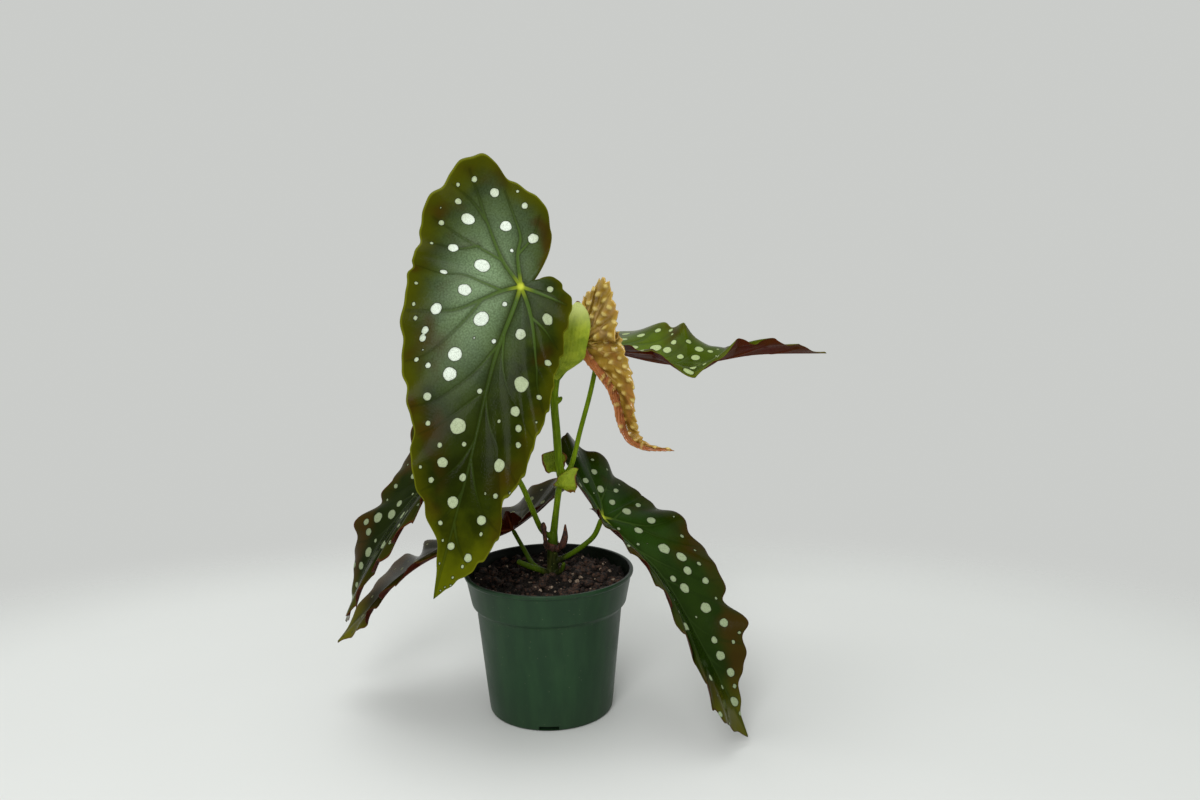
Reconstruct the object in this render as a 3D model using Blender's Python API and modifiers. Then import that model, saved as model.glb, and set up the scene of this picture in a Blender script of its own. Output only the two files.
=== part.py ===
"""Potted polka dot begonia: a young spotted cane begonia in a green plastic nursery pot.

The plant has one cane with its leaf stalks, six lopsided wing-shaped leaf blades, papery
stipules at the nodes and old brown scales at the base.  It stands in a filled nursery pot.
Origin: centre of the pot's underside, on the table.  +Z is up, the plant's front is -Y.
Lengths below are millimetres and are turned into metres once, in the helper mm().
"""
import bpy
import bmesh
import numpy as np
from mathutils import Matrix, Vector

# ---------------------------------------------------------------- driving dimensions (mm)
POT_HEIGHT = 92.4
POT_RIM_RADIUS = 54.0          # outside of the thin lip
POT_BAND_TOP_RADIUS = 52.8     # deep stacking band under the lip
POT_BAND_LOW_RADIUS = 49.2
POT_BAND_LOW_Z = 71.6
POT_BODY_TOP_RADIUS = 46.3
POT_BODY_TOP_Z = 69.2
POT_BASE_RADIUS = 39.6
POT_WALL = 1.3
POT_FLOOR = 1.8
POT_STEPS = 48
DRAIN_SLOTS = 4
DRAIN_WIDTH, DRAIN_HEIGHT = 12.5, 2.7

SOIL_LEVEL = 83.3              # height of the soil at the pot's axis
SOIL_TILT = 0.055              # the soil stands a little higher at the back
CLEAR = 0.3                    # gap between neighbouring pieces

CROWN = (2.0, 13.0, 81.0)      # rootstock, just under the soil
CROWN_RADIUS, CROWN_HEIGHT = 6.6, 7.4
STALK_RADIUS = 1.75
BLADE = 0.8                    # leaf thickness
LEAF_ROWS, LEAF_COLUMNS = 38, 8

# Outline of one leaf in shares of the midrib's length: x runs from the stalk to the tip,
# y to the narrow half.  The wide half has the deep ear that points back past the stalk.
WIDE = ((-0.026, 0.036), (-0.10, 0.062), (-0.18, 0.064), (-0.25, 0.046), (-0.31, 0.0),
        (-0.36, -0.095), (-0.41, -0.15), (-0.427, -0.20), (-0.405, -0.255), (-0.30, -0.308),
        (-0.235, -0.348), (-0.13, -0.343), (0.0, -0.345), (0.075, -0.347), (0.146, -0.334),
        (0.235, -0.30), (0.31, -0.275), (0.45, -0.215), (0.54, -0.184), (0.60, -0.178),
        (0.655, -0.152), (0.77, -0.08), (0.82, -0.04), (0.90, -0.017), (1.0, 0.0))
NARROW = ((-0.026, 0.036), (-0.05, 0.085), (-0.02, 0.137), (0.023, 0.172), (0.08, 0.173),
          (0.143, 0.19), (0.24, 0.193), (0.315, 0.198), (0.405, 0.193), (0.482, 0.178),
          (0.593, 0.163), (0.67, 0.128), (0.742, 0.142), (0.812, 0.13), (0.889, 0.089),
          (0.942, 0.045), (1.0, 0.0))

# One entry a leaf.  spine: points along the midrib in steps of 5 mm, the second one at the
# stalk, the first one back through the ear.  hand: which side the narrow half is on.
# facing: the way the upper face looks at the stalk and at the tip.  at: shares of the length
# where fold_wide, fold_narrow (degrees that each half rises from the midrib), wide and narrow
# (how much broader than the plain outline) are given.  waves: ripples along the two margins,
# height.
LEAVES = {
    "leaf_front": dict(
        length=186, hand=-1,
        spine=((0, -15, 335), (-10, -45, 275), (-25, -55, 235), (-40, -75, 175), (-60, -90, 105)),
        facing=((0, -0.95, 0.3), (0, -0.95, 0.3)),
        at=(0, 1), fold_wide=(5, 10), fold_narrow=(5, 10), wide=(1, 1), narrow=(1, 1),
        curl=-12, waves=(9, 6, 1.8),
        colour=(0.062, 0.085, 0.012)),
    "leaf_young": dict(
        length=98, hand=1,
        spine=((25, 10, 245), (25, 10, 235), (45, 5, 205), (55, 0, 175), (80, -10, 170)),
        facing=((-0.3, -0.9, 0.4), (-0.2, -0.9, 0.4)),
        at=(0, 0.5, 1), fold_wide=(25, 45, 35), fold_narrow=(75, 80, 60),
        wide=(0.8, 0.65, 0.6), narrow=(0.9, 0.85, 0.7), curl=0, waves=(12, 9, 1.0),
        colour=(0.40, 0.29, 0.08)),
    "leaf_right_upper": dict(
        length=143, hand=1,
        spine=((0, 30, 240), (35, 30, 230), (85, 20, 220), (135, 25, 225), (180, 25, 225)),
        facing=((0, 0, 1), (0, 0, 1)),
        at=(0, 0.25, 0.4, 0.6, 1), fold_wide=(5, 30, 45, 5, 35), fold_narrow=(15, 25, -10, 40, 25),
        wide=(1, 1, 1, 1, 1), narrow=(1, 1, 1, 1, 1), curl=0, waves=(9, 8, 1.5),
        colour=(0.070, 0.095, 0.010)),
    "leaf_right_lower": dict(
        length=151, hand=1,
        spine=((15, 15, 150), (35, 0, 125), (70, -25, 95), (95, -50, 55), (120, -60, 5)),
        facing=((0.65, -0.5, 0.5), (0.4, -0.8, 0.45)),
        at=(-0.35, 0, 0.5, 1), fold_wide=(0, 10, 25, 35), fold_narrow=(85, 40, 40, 35),
        wide=(0.65, 0.75, 1, 1.8), narrow=(1, 1, 1, 1.5), curl=0, waves=(9, 8, 2.6),
        colour=(0.025, 0.045, 0.010)),
    "leaf_left_upper": dict(
        length=152, hand=-1,
        spine=((-10, 5, 220), (-40, -10, 185), (-85, -20, 140), (-110, -15, 105), (-130, -5, 60)),
        facing=((-0.7, -0.35, 0.6), (-0.65, -0.45, 0.6)),
        at=(0, 0.4, 0.6, 1), fold_wide=(30, 15, 30, 20), fold_narrow=(30, 15, 10, 25),
        wide=(1, 0.7, 0.9, 1.4), narrow=(1, 1.2, 1.1, 1.4), curl=0, waves=(9, 8, 2.3),
        colour=(0.022, 0.040, 0.012)),
    "leaf_left_lower": dict(
        length=145, hand=-1,
        spine=((25, 55, 140), (-25, 30, 110), (-80, 10, 95), (-120, 15, 60), (-140, 10, 40)),
        facing=((-0.5, 0.1, 0.85), (-0.3, -0.1, 0.95)),
        at=(-0.35, 0, 0.5, 1), fold_wide=(20, 15, 5, 30), fold_narrow=(70, 35, 10, -10),
        wide=(0.8, 0.9, 1, 3), narrow=(1.2, 1, 1, 1), curl=0, waves=(9, 8, 2.0),
        colour=(0.024, 0.032, 0.010)),
}

# Stems: route points (mm) with the radius at each, and the leaf that the route ends under.
STEMS = {
    "old_cane": (((2, 13, 76), 3.9), ((2, 13, 90), 3.7), ((2.2, 12, 103), 3.6),
                 ((2.7, 11.4, 109), 3.2), ((3.2, 11, 113), 2.5), ((5.2, 9.6, 128), 2.1),
                 ((7.3, 8, 142), 2.15), ((9.2, 7.3, 148.5), 2.9), ((8.6, 7, 153), 2.9),
                 ((7.6, 6.6, 160), 2.65), ((6.6, 5.4, 180), 2.6), ((5.6, 4, 200), 2.55),
                 ((6.6, 3, 210), 2.4), ((8.2, 2.2, 216.5), 2.0)),
    "stalk_front": (((7.0, 2.8, 211), 1.9), ((5.0, -1, 220), 1.9), ((1.5, -12, 238), 1.8),
                    ((-4, -28, 258), 1.75)),
    "stalk_young": (((8.0, 2.4, 214), 1.8), ((12, 4.5, 218.5), 1.5), ((19, 7.6, 224.5), 1.3)),
    "stalk_right_upper": (((9.4, 7.2, 149), 2.0), ((12.5, 7.2, 153), 1.9), ((15.5, 7.4, 158), 1.7),
                          ((21.5, 8.4, 180), 1.6), ((28, 9.6, 203), 1.6), ((31.5, 10.8, 218), 1.6)),
    "stalk_right_lower": (((2.5, 12.6, 92), 2.0), ((6, 11.6, 94), 1.9), ((13, 9.4, 98), 1.75),
                          ((20.5, 7, 103.5), 1.75), ((29, 5, 111.5), 1.75)),
    "stalk_left_upper": (((3, 11.2, 109), 1.9), ((-0.6, 10.6, 111), 1.9), ((-4.2, 10, 114.5), 1.85),
                         ((-10.5, 6, 131), 1.8), ((-16.4, 2, 147.3), 1.8), ((-27, -3, 166), 1.75)),
    "stalk_left_lower": (((1.0, 13, 84.5), 1.9), ((-5, 13.6, 86.8), 1.7), ((-11, 15, 90.3), 1.6),
                         ((-17, 19.5, 99), 1.5)),
    "cut_stub": (((0, 11, 84.5), 2.2), ((-5, 8.6, 88.0), 2.0), ((-12, 7.2, 91), 1.9),
                 ((-21, 6, 95.4), 1.7)),
    "young_bud": (((6.6, 4.4, 199), 2.0), ((9.3, 4, 201), 1.5), ((10.4, 3.9, 203), 0.9)),
    "side_shoot": (((4, 10.5, 84.5), 1.7), ((8.2, 7.6, 89), 1.5), ((9.7, 5.6, 94.5), 1.2)),
}
STALK_ENDS = {"stalk_front": "leaf_front", "stalk_young": "leaf_young",
              "stalk_right_upper": "leaf_right_upper", "stalk_right_lower": "leaf_right_lower",
              "stalk_left_upper": "leaf_left_upper", "stalk_left_lower": "leaf_left_lower"}

# Stipules: a strip of papery skin along a spine (mm), its width at each point, the way its
# back looks, and the angle that it wraps through across its width.
STIPULES = {
    "stipule_apex": dict(
        spine=((9.4, -4.4, 217), (14.8, -7.6, 223.4), (19.2, -9.4, 232.5), (20.9, -9.8, 241.5),
               (20.2, -8.8, 252), (22.2, -6.4, 261.5)),
        width=(2.2, 9, 14.5, 16, 13.5, 1.6), facing=(-0.25, -0.95, 0.1), wrap=105,
        colour=(0.25, 0.33, 0.02)),
    "stipule_node_left": dict(
        spine=((3.2, 5.6, 155), (0.9, 5.3, 158), (-0.6, 4.8, 162), (1.2, 4.6, 167.4)),
        width=(2.4, 6.4, 6.8, 1.6), facing=(-0.15, -1, 0), wrap=40, colour=(0.20, 0.26, 0.02)),
    "stipule_node_right": dict(
        spine=((14.8, 2.6, 157.4), (14.2, 1.6, 153), (13.2, 1.4, 148), (12.6, 2.2, 143.6)),
        width=(5.5, 10.5, 11.5, 4.5), facing=(0.15, -1, 0), wrap=70, colour=(0.27, 0.33, 0.02)),
}


# ---------------------------------------------------------------- helpers
def mm(value):
    return np.asarray(value, dtype=float) * 0.001


def new_collection(name):
    made = bpy.data.collections.new(name)
    bpy.context.scene.collection.children.link(made)
    return made


def material(name, colour, roughness, metallic=0.0):
    made = bpy.data.materials.new(name)
    made.use_nodes = True
    shader = made.node_tree.nodes["Principled BSDF"]
    shader.inputs["Base Color"].default_value = (*colour, 1.0)
    shader.inputs["Roughness"].default_value = roughness
    shader.inputs["Metallic"].default_value = metallic
    return made


def add_object(name, data, collection, look=None):
    made = bpy.data.objects.new(name, data)
    collection.objects.link(made)
    if look is not None:
        data.materials.append(look)
    return made


def smooth_round(mesh, angle=0.7):
    mesh.shade_smooth()
    mesh.set_sharp_from_angle(angle=angle)


def curve_through(points, samples=240):
    """A rounded path through the points (Catmull-Rom with square-root chord spacing), read at
    even steps along its length.  Returns the path's points and their distances from its start."""
    points = np.asarray(points, dtype=float)
    ends = np.vstack([2 * points[0] - points[1], points, 2 * points[-1] - points[-2]])
    knots = np.concatenate([[0], np.cumsum(np.sqrt(np.linalg.norm(np.diff(ends, axis=0), axis=1)))])
    pieces = []
    for i in range(1, len(points)):
        p, k = ends[i - 1:i + 3], knots[i - 1:i + 3]
        t = np.linspace(k[1], k[2], 24, endpoint=(i == len(points) - 1))[:, None]

        def mix(a, b, ta, tb):
            return (tb - t) / (tb - ta) * a + (t - ta) / (tb - ta) * b

        a1, a2, a3 = mix(p[0], p[1], k[0], k[1]), mix(p[1], p[2], k[1], k[2]), mix(p[2], p[3], k[2], k[3])
        b1, b2 = mix(a1, a2, k[0], k[2]), mix(a2, a3, k[1], k[3])
        pieces.append(mix(b1, b2, k[1], k[2]))
    path = np.vstack(pieces)
    run = np.concatenate([[0], np.cumsum(np.linalg.norm(np.diff(path, axis=0), axis=1))])
    even = np.linspace(0, run[-1], samples)
    return np.stack([np.interp(even, run, path[:, i]) for i in range(path.shape[1])], axis=1), even


def read_along(where, stations, values):
    """Straight-line reading of a column or rows of values between stations."""
    values = np.asarray(values, dtype=float)
    if values.ndim == 1:
        return np.interp(where, stations, values)
    return np.stack([np.interp(where, stations, values[:, i]) for i in range(values.shape[1])], axis=1)


def unit(rows):
    return rows / np.linalg.norm(rows, axis=-1, keepdims=True)


# ---------------------------------------------------------------- leaf blades
def leaf_frame(leaf):
    """Along the midrib: its place, its direction, the way to the narrow half and the way that
    the upper face looks, against q, which is 0 at the stalk and 1 at the tip."""
    path, run = curve_through(leaf["spine"], 300)
    run = run - run[np.linalg.norm(path - np.array(leaf["spine"][1]), axis=1).argmin()]
    q = np.where(run > 0, run / run[-1], run / leaf["length"])
    along = unit(np.gradient(path, run, axis=0))
    face = read_along(q, (0, 1), unit(np.array(leaf["facing"], dtype=float)))
    face = unit(face - along * (face * along).sum(axis=1, keepdims=True))
    return q, path, along, np.cross(along, face) * leaf["hand"], face


def blade_points(leaf, b, a):
    """Points (mm) on the middle of a leaf blade.  b runs along the margin from the notch at the
    stalk (0) to the tip (1); a runs across, -1 on the wide margin, 0 on the midrib, 1 on the
    narrow margin.  A row starts on the midrib (at the stalk while b is under a half) and ends
    on the margin, like a side vein.  The flat leaf is then laid along the bent midrib, each
    half rising by its fold angle and bending by its curl, with ripples near the margin."""
    length, reach = leaf["length"], np.abs(a)
    wide_edge, narrow_edge = (read_along(b, np.linspace(0, 1, 400), curve_through(o, 400)[0])
                              for o in (WIDE, NARROW))
    edge = np.where((a < 0)[:, None], wide_edge, narrow_edge)
    root = np.stack([np.clip((b - 0.5) / 0.5, 0, 1) ** 1.6, 0 * b], axis=1)
    x, y = (root + (edge - root) * reach[:, None]).T
    waves_wide, waves_narrow, height = leaf["waves"]
    count = np.where(a < 0, waves_wide, waves_narrow)
    ripple = height * reach ** 3 * np.sin(2 * np.pi * count * b + np.where(a < 0, 0, 1.7))
    ripple = ripple * np.clip(b * 20, 0, 1) * np.clip((1 - b) * 6, 0, 1)

    q, path, along, across, face = leaf_frame(leaf)
    centre = read_along(x, q, path)
    centre = centre + read_along(x, q, along) * (np.minimum(x - q[0], 0) * length)[:, None]
    inner = y > 0
    fold = np.radians(np.where(inner, read_along(x, leaf["at"], leaf["fold_narrow"]),
                               read_along(x, leaf["at"], leaf["fold_wide"])))
    out = np.abs(y) * length * np.where(inner, read_along(x, leaf["at"], leaf["narrow"]),
                                        read_along(x, leaf["at"], leaf["wide"]))
    bend = np.radians(leaf["curl"] or 0.001) / (np.where(inner, 0.18, 0.34) * length)
    sideways = (np.sin(fold + bend * out) - np.sin(fold)) / bend
    rise = (np.cos(fold) - np.cos(fold + bend * out)) / bend
    soft = np.where(x < 0, 8.0, 3.0) * length / 186
    rise = rise * (np.hypot(out, soft) - soft) / np.maximum(out, 1e-6) + ripple
    return (centre + read_along(x, q, across) * (np.sign(y) * sideways)[:, None]
            + read_along(x, q, face) * rise[:, None])


def grid_mesh(name, rows, columns, place):
    """A plane grid whose points (u, v in 0..1) are moved by place(), with its seams closed."""
    work = bmesh.new()
    bmesh.ops.create_grid(work, x_segments=rows, y_segments=columns, size=0.5)
    u, v = np.array([(p.co.x + 0.5, p.co.y + 0.5) for p in work.verts]).T
    for point, spot in zip(work.verts, mm(place(np.clip(u, 0, 1), np.clip(v, 0, 1)))):
        point.co = spot
    bmesh.ops.remove_doubles(work, verts=work.verts, dist=0.00005)
    bmesh.ops.triangulate(work, faces=work.faces)
    mesh = bpy.data.meshes.new(name)
    work.to_mesh(mesh)
    work.free()
    return mesh


def add_shell(body, thickness):
    shell = body.modifiers.new("thickness", "SOLIDIFY")
    shell.thickness = thickness * 0.001
    shell.offset = 0.0
    return shell


def make_leaf(name, leaf, parts):
    mesh = grid_mesh(name, LEAF_ROWS, LEAF_COLUMNS,
                     lambda u, v: blade_points(leaf, u, 2 * v - 1))
    mesh.shade_smooth()
    blade = add_object(name, mesh, parts, material(name, leaf["colour"], 0.35))
    add_shell(blade, BLADE)
    return blade


# ---------------------------------------------------------------- cane and leaf stalks
def stem_curve(name, route, collection):
    """A round stem as a bevelled curve through the route's points, its radius read along it."""
    spots = [p for p, _ in route]
    steps = np.linalg.norm(np.diff(np.array(spots, dtype=float), axis=0), axis=1)
    count = max(5, int(steps.sum() / 6.5) + 2)
    path, run = curve_through(spots, count)
    radii = np.interp(run, np.concatenate([[0], np.cumsum(steps)]) * run[-1] / steps.sum(),
                      [r for _, r in route])
    curve = bpy.data.curves.new(name, "CURVE")
    curve.dimensions = "3D"
    curve.bevel_depth = 0.001
    curve.bevel_resolution = 3
    curve.use_fill_caps = True
    spline = curve.splines.new("POLY")
    spline.points.add(count - 1)
    for point, spot, radius in zip(spline.points, mm(path), radii):
        point.co = (*spot, 1.0)
        point.radius = radius
    return add_object(name, curve, collection)


def curve_to_mesh(body):
    """The curve's mesh with its caps welded on, in a new object; the curve is removed."""
    ready = body.evaluated_get(bpy.context.evaluated_depsgraph_get())
    mesh = bpy.data.meshes.new_from_object(ready)
    work = bmesh.new()
    work.from_mesh(mesh)
    bmesh.ops.remove_doubles(work, verts=work.verts, dist=0.00001)
    bmesh.ops.recalc_face_normals(work, faces=work.faces)
    work.to_mesh(mesh)
    work.free()
    made = bpy.data.objects.new(body.name + "_mesh", mesh)
    made.matrix_world = body.matrix_world
    for home in body.users_collection:
        home.objects.link(made)
    bpy.data.objects.remove(body)
    return made


def join_all(name, pieces, look, parts):
    """One Boolean union of the pieces into one body."""
    gather = new_collection(name + "_pieces")
    first, others = pieces[0], pieces[1:]
    for piece in pieces:
        for home in list(piece.users_collection):
            home.objects.unlink(piece)
    bpy.context.scene.collection.objects.link(first)
    for piece in others:
        gather.objects.link(piece)
    union = first.modifiers.new("union", "BOOLEAN")
    union.operation = "UNION"
    union.operand_type = "COLLECTION"
    union.collection = gather
    union.solver = "EXACT"
    bpy.context.view_layer.update()
    ready = first.evaluated_get(bpy.context.evaluated_depsgraph_get())
    mesh = bpy.data.meshes.new_from_object(ready)
    mesh.name = name
    mesh.materials.clear()
    for piece in pieces:
        bpy.data.objects.remove(piece)
    bpy.data.collections.remove(gather)
    smooth_round(mesh, 0.9)
    return add_object(name, mesh, parts, look)


def make_stems(parts, guides):
    pieces = []
    for name, route in STEMS.items():
        route = [(tuple(p), r) for p, r in route]
        if name in STALK_ENDS:
            leaf = LEAVES[STALK_ENDS[name]]
            q, path, _, _, face = leaf_frame(leaf)
            here = np.abs(q).argmin()
            radius = route[-1][1]
            drop = BLADE / 2 + CLEAR + 0.95 * radius + 0.2
            route.append((tuple(path[here] - face[here] * drop), radius))
        pieces.append(curve_to_mesh(stem_curve(name, route, guides)))
    work = bmesh.new()
    bmesh.ops.create_uvsphere(work, u_segments=20, v_segments=12, radius=1.0)
    size = Matrix.Diagonal((*mm((CROWN_RADIUS, CROWN_RADIUS, CROWN_HEIGHT)), 1.0))
    bmesh.ops.transform(work, matrix=Matrix.Translation(Vector(mm(CROWN))) @ size, verts=work.verts)
    mesh = bpy.data.meshes.new("crown")
    work.to_mesh(mesh)
    work.free()
    pieces.append(add_object("crown", mesh, guides))
    return join_all("stems", pieces, material("stem_green", (0.10, 0.17, 0.006), 0.42), parts)


# ---------------------------------------------------------------- stipules and base scales
def make_stipule(name, spec, parts):
    """A strip whose rows cross the spine; each row is an arc that wraps round behind it."""
    path, run = curve_through(spec["spine"], 120)
    steps = np.linalg.norm(np.diff(np.array(spec["spine"], dtype=float), axis=0), axis=1)
    stations = np.concatenate([[0], np.cumsum(steps)]) / steps.sum()
    along = unit(np.gradient(path, axis=0))
    face = unit(np.array(spec["facing"], dtype=float))
    face = unit(face - along * (along @ face)[:, None])
    across = np.cross(along, face)
    wrap = np.radians(spec["wrap"])

    def place(u, v):
        share = run / run[-1]
        half = read_along(u, stations, spec["width"]) / 2
        radius = half / np.sin(wrap / 2)
        angle = (2 * v - 1) * wrap / 2
        return (read_along(u, share, path) + read_along(u, share, across)
                * (radius * np.sin(angle))[:, None]
                - read_along(u, share, face) * (radius * (1 - np.cos(angle)))[:, None])

    mesh = grid_mesh(name, 9, 6, place)
    mesh.shade_smooth()
    strip = add_object(name, mesh, parts, material(name, spec["colour"], 0.45))
    add_shell(strip, 0.7)
    return strip


def make_base_scales(parts, guides):
    """A dry leaf scar ring round the old cane, with one upright scale and one dead bud."""
    ring_inner, ring_outer, ring_half = 3.7 + CLEAR, 5.3, 1.6
    work = bmesh.new()
    profile = [(ring_inner, -ring_half), (ring_inner, ring_half), (ring_outer - 0.4, ring_half),
               (ring_outer, 0.3), (ring_outer - 0.3, -ring_half)]
    points = [work.verts.new((x * 0.001, 0, z * 0.001)) for x, z in profile]
    for i in range(len(points)):
        work.edges.new((points[i], points[(i + 1) % len(points)]))
    bmesh.ops.spin(work, geom=work.verts[:] + work.edges[:], cent=(0, 0, 0), axis=(0, 0, 1),
                   angle=2 * np.pi, steps=24, use_merge=True)
    bmesh.ops.recalc_face_normals(work, faces=work.faces)
    tilt = Matrix.Rotation(np.radians(16), 4, "Y")
    bmesh.ops.transform(work, matrix=Matrix.Translation((0.0023, 0.012, 0.1035)) @ tilt,
                        verts=work.verts)
    mesh = bpy.data.meshes.new("scar_ring")
    work.to_mesh(mesh)
    work.free()
    pieces = [add_object("scar_ring", mesh, guides)]
    scale = (((7.4, 10.4, 102.4), 1.2), ((8.9, 9.6, 104.5), 1.9), ((10.6, 9.4, 110), 1.5),
             ((10.2, 9.6, 118.5), 0.45))
    bud = (((-0.4, 6.9, 104.6), 1.1), ((-1.8, 5.2, 108), 1.1), ((-2.4, 4.6, 114), 1.2),
           ((-3.0, 4.4, 118), 1.8), ((-3.0, 4.4, 121.3), 0.9))
    for name, route in (("dry_scale", scale), ("dead_bud", bud)):
        pieces.append(curve_to_mesh(stem_curve(name, route, guides)))
    return join_all("base_scales", pieces, material("dry_scale_brown", (0.045, 0.018, 0.010), 0.75),
                    parts)


# ---------------------------------------------------------------- pot and soil
def turned_mesh(name, profile, steps, collection, look=None):
    """A profile (radius, height in mm), inner side up and outer side down, turned round Z."""
    mesh = bpy.data.meshes.new(name)
    points = [(r * 0.001, 0.0, z * 0.001) for r, z in profile]
    mesh.from_pydata(points, [(i, i + 1) for i in range(len(points) - 1)], [])
    body = add_object(name, mesh, collection, look)
    screw = body.modifiers.new("turn", "SCREW")
    screw.axis = "Z"
    screw.angle = 2 * np.pi
    screw.steps = screw.render_steps = steps
    screw.use_merge_vertices = True
    screw.merge_threshold = 0.00001
    screw.use_smooth_shade = True
    return body


def pot_outer_radius(z):
    return np.interp(z, (0, 4.0, POT_BODY_TOP_Z, POT_BAND_LOW_Z, POT_HEIGHT - 2.6),
                     (POT_BASE_RADIUS, POT_BASE_RADIUS + 0.4, POT_BODY_TOP_RADIUS,
                      POT_BAND_LOW_RADIUS, POT_BAND_TOP_RADIUS))


def make_pot(parts, guides):
    inner = [(0, POT_FLOOR), (20, POT_FLOOR), (POT_BASE_RADIUS - POT_WALL - 1.2, POT_FLOOR),
             (pot_outer_radius(4) - POT_WALL, 3.6)]
    inner += [(pot_outer_radius(z) - POT_WALL, z)
              for z in (POT_BODY_TOP_Z, POT_BAND_LOW_Z + 0.8, POT_HEIGHT - 2.6)]
    lip = [(POT_BAND_TOP_RADIUS - POT_WALL + 0.1, POT_HEIGHT - 0.5),
           (POT_RIM_RADIUS - 1.6, POT_HEIGHT), (POT_RIM_RADIUS - 0.5, POT_HEIGHT - 0.15),
           (POT_RIM_RADIUS, POT_HEIGHT - 0.9), (POT_RIM_RADIUS - 0.3, POT_HEIGHT - 1.9),
           (POT_BAND_TOP_RADIUS, POT_HEIGHT - 2.6)]
    outer = [(POT_BAND_LOW_RADIUS + 0.1, POT_BAND_LOW_Z + 0.9),
             (POT_BAND_LOW_RADIUS - 0.4, POT_BAND_LOW_Z), (POT_BODY_TOP_RADIUS, POT_BODY_TOP_Z),
             (POT_BASE_RADIUS + 0.4, 4.0), (POT_BASE_RADIUS - 0.1, 1.8),
             (POT_BASE_RADIUS - 1.0, 0.5), (POT_BASE_RADIUS - 2.4, 0.0), (20, 0), (0, 0)]
    pot = turned_mesh("pot", inner + lip + outer, POT_STEPS, parts,
                      material("pot_green", (0.022, 0.060, 0.026), 0.33))
    for k in range(DRAIN_SLOTS):
        work = bmesh.new()
        bmesh.ops.create_cube(work, size=1.0)
        size = Matrix.Diagonal((*mm((9.0, DRAIN_WIDTH, DRAIN_HEIGHT)), 1.0))
        place = Matrix.Translation(mm((POT_BASE_RADIUS - 0.5, 0, 0.7 + DRAIN_HEIGHT / 2)))
        turn = Matrix.Rotation(2 * np.pi * k / DRAIN_SLOTS + np.pi / 2, 4, "Z")
        bmesh.ops.transform(work, matrix=turn @ place @ size, verts=work.verts)
        mesh = bpy.data.meshes.new("drain_cutter_%d" % k)
        work.to_mesh(mesh)
        work.free()
        cutter = add_object("drain_cutter_%d" % k, mesh, guides)
        cutter.hide_render = True
        cutter.display_type = "WIRE"
        cut = pot.modifiers.new("drain_%d" % k, "BOOLEAN")
        cut.operation = "DIFFERENCE"
        cut.solver = "EXACT"
        cut.object = cutter
    return pot


def soil_height(x, y):
    """Soil surface (mm): nearly level, a little higher at the back, with low clods."""
    clods = (0.40 * np.sin(0.42 * x + 1.0) * np.sin(0.38 * y + 0.4)
             + 0.22 * np.sin(0.83 * x - 0.6 * y) + 0.15 * np.cos(1.1 * y + 0.5 * x))
    return SOIL_LEVEL + SOIL_TILT * y + clods


def make_soil(parts, guides):
    gap = POT_WALL + CLEAR + 0.15
    edge_z = SOIL_LEVEL - 0.2
    rings = (6.5, 13, 20, 27, 34, 41, pot_outer_radius(edge_z) - gap - 0.8)
    profile = [(0, SOIL_LEVEL)] + [(r, SOIL_LEVEL) for r in rings]
    profile += [(pot_outer_radius(edge_z - 1.5) - gap - 0.4, edge_z - 1.5),
                (pot_outer_radius(POT_BAND_LOW_Z + 3) - gap - 0.4, POT_BAND_LOW_Z + 3),
                (POT_BODY_TOP_RADIUS - gap, POT_BODY_TOP_Z + 0.6),
                (pot_outer_radius(6) - gap, 6.0), (POT_BASE_RADIUS - POT_WALL - 3, POT_FLOOR + CLEAR),
                (0, POT_FLOOR + CLEAR)]
    plain = turned_mesh("soil_plain", profile, 40, guides)
    bpy.context.view_layer.update()
    ready = plain.evaluated_get(bpy.context.evaluated_depsgraph_get())
    mesh = bpy.data.meshes.new_from_object(ready)
    bpy.data.objects.remove(plain)
    for point in mesh.vertices:
        x, y, z = (c * 1000 for c in point.co)
        if z > SOIL_LEVEL - 0.05:
            fade = np.clip((rings[-1] + 2 - np.hypot(x, y)) / 4, 0, 1)
            level = SOIL_LEVEL + SOIL_TILT * y
            point.co.z = (level + (soil_height(x, y) - level) * fade) * 0.001
        elif z > edge_z - 1.6:
            point.co.z += SOIL_TILT * y * 0.001
    mesh.name = "soil"
    soil = add_object("soil", mesh, parts, material("potting_mix", (0.012, 0.009, 0.006), 0.95))
    work = bmesh.new()
    bmesh.ops.create_cone(work, cap_ends=True, segments=28, radius1=(CROWN_RADIUS + CLEAR) * 0.001,
                          radius2=(CROWN_RADIUS + CLEAR) * 0.001, depth=0.040)
    centre = Matrix.Translation(mm((CROWN[0], CROWN[1], CROWN[2] - CROWN_HEIGHT - CLEAR + 20)))
    bmesh.ops.transform(work, matrix=centre, verts=work.verts)
    hole = bpy.data.meshes.new("stem_hole_cutter")
    work.to_mesh(hole)
    work.free()
    cutter = add_object("stem_hole_cutter", hole, guides)
    cutter.hide_render = True
    cutter.display_type = "WIRE"
    cut = soil.modifiers.new("stem_hole", "BOOLEAN")
    cut.operation = "DIFFERENCE"
    cut.solver = "EXACT"
    cut.object = cutter
    return soil


# ---------------------------------------------------------------- build
for old in list(bpy.data.objects):
    bpy.data.objects.remove(old)

parts = new_collection("potted_polka_dot_begonia")
guides = new_collection("cutters_and_guides")
make_pot(parts, guides)
make_soil(parts, guides)
make_stems(parts, guides)
for leaf_name, leaf in LEAVES.items():
    make_leaf(leaf_name, leaf, parts)
for stipule_name, spec in STIPULES.items():
    make_stipule(stipule_name, spec, parts)
make_base_scales(parts, guides)
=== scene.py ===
"""Potted polka dot begonia: its looks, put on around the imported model.

The script goes as the plant is put together: the pot, the soil, the leaf blades, the cane and
its stalks, the stipules and the dry scales, and then the table, the lights and the camera.
Tables hold millimetres; make_piece() turns them into metres.
"""

import bpy
import numpy as np
from mathutils import Matrix, Vector


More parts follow.
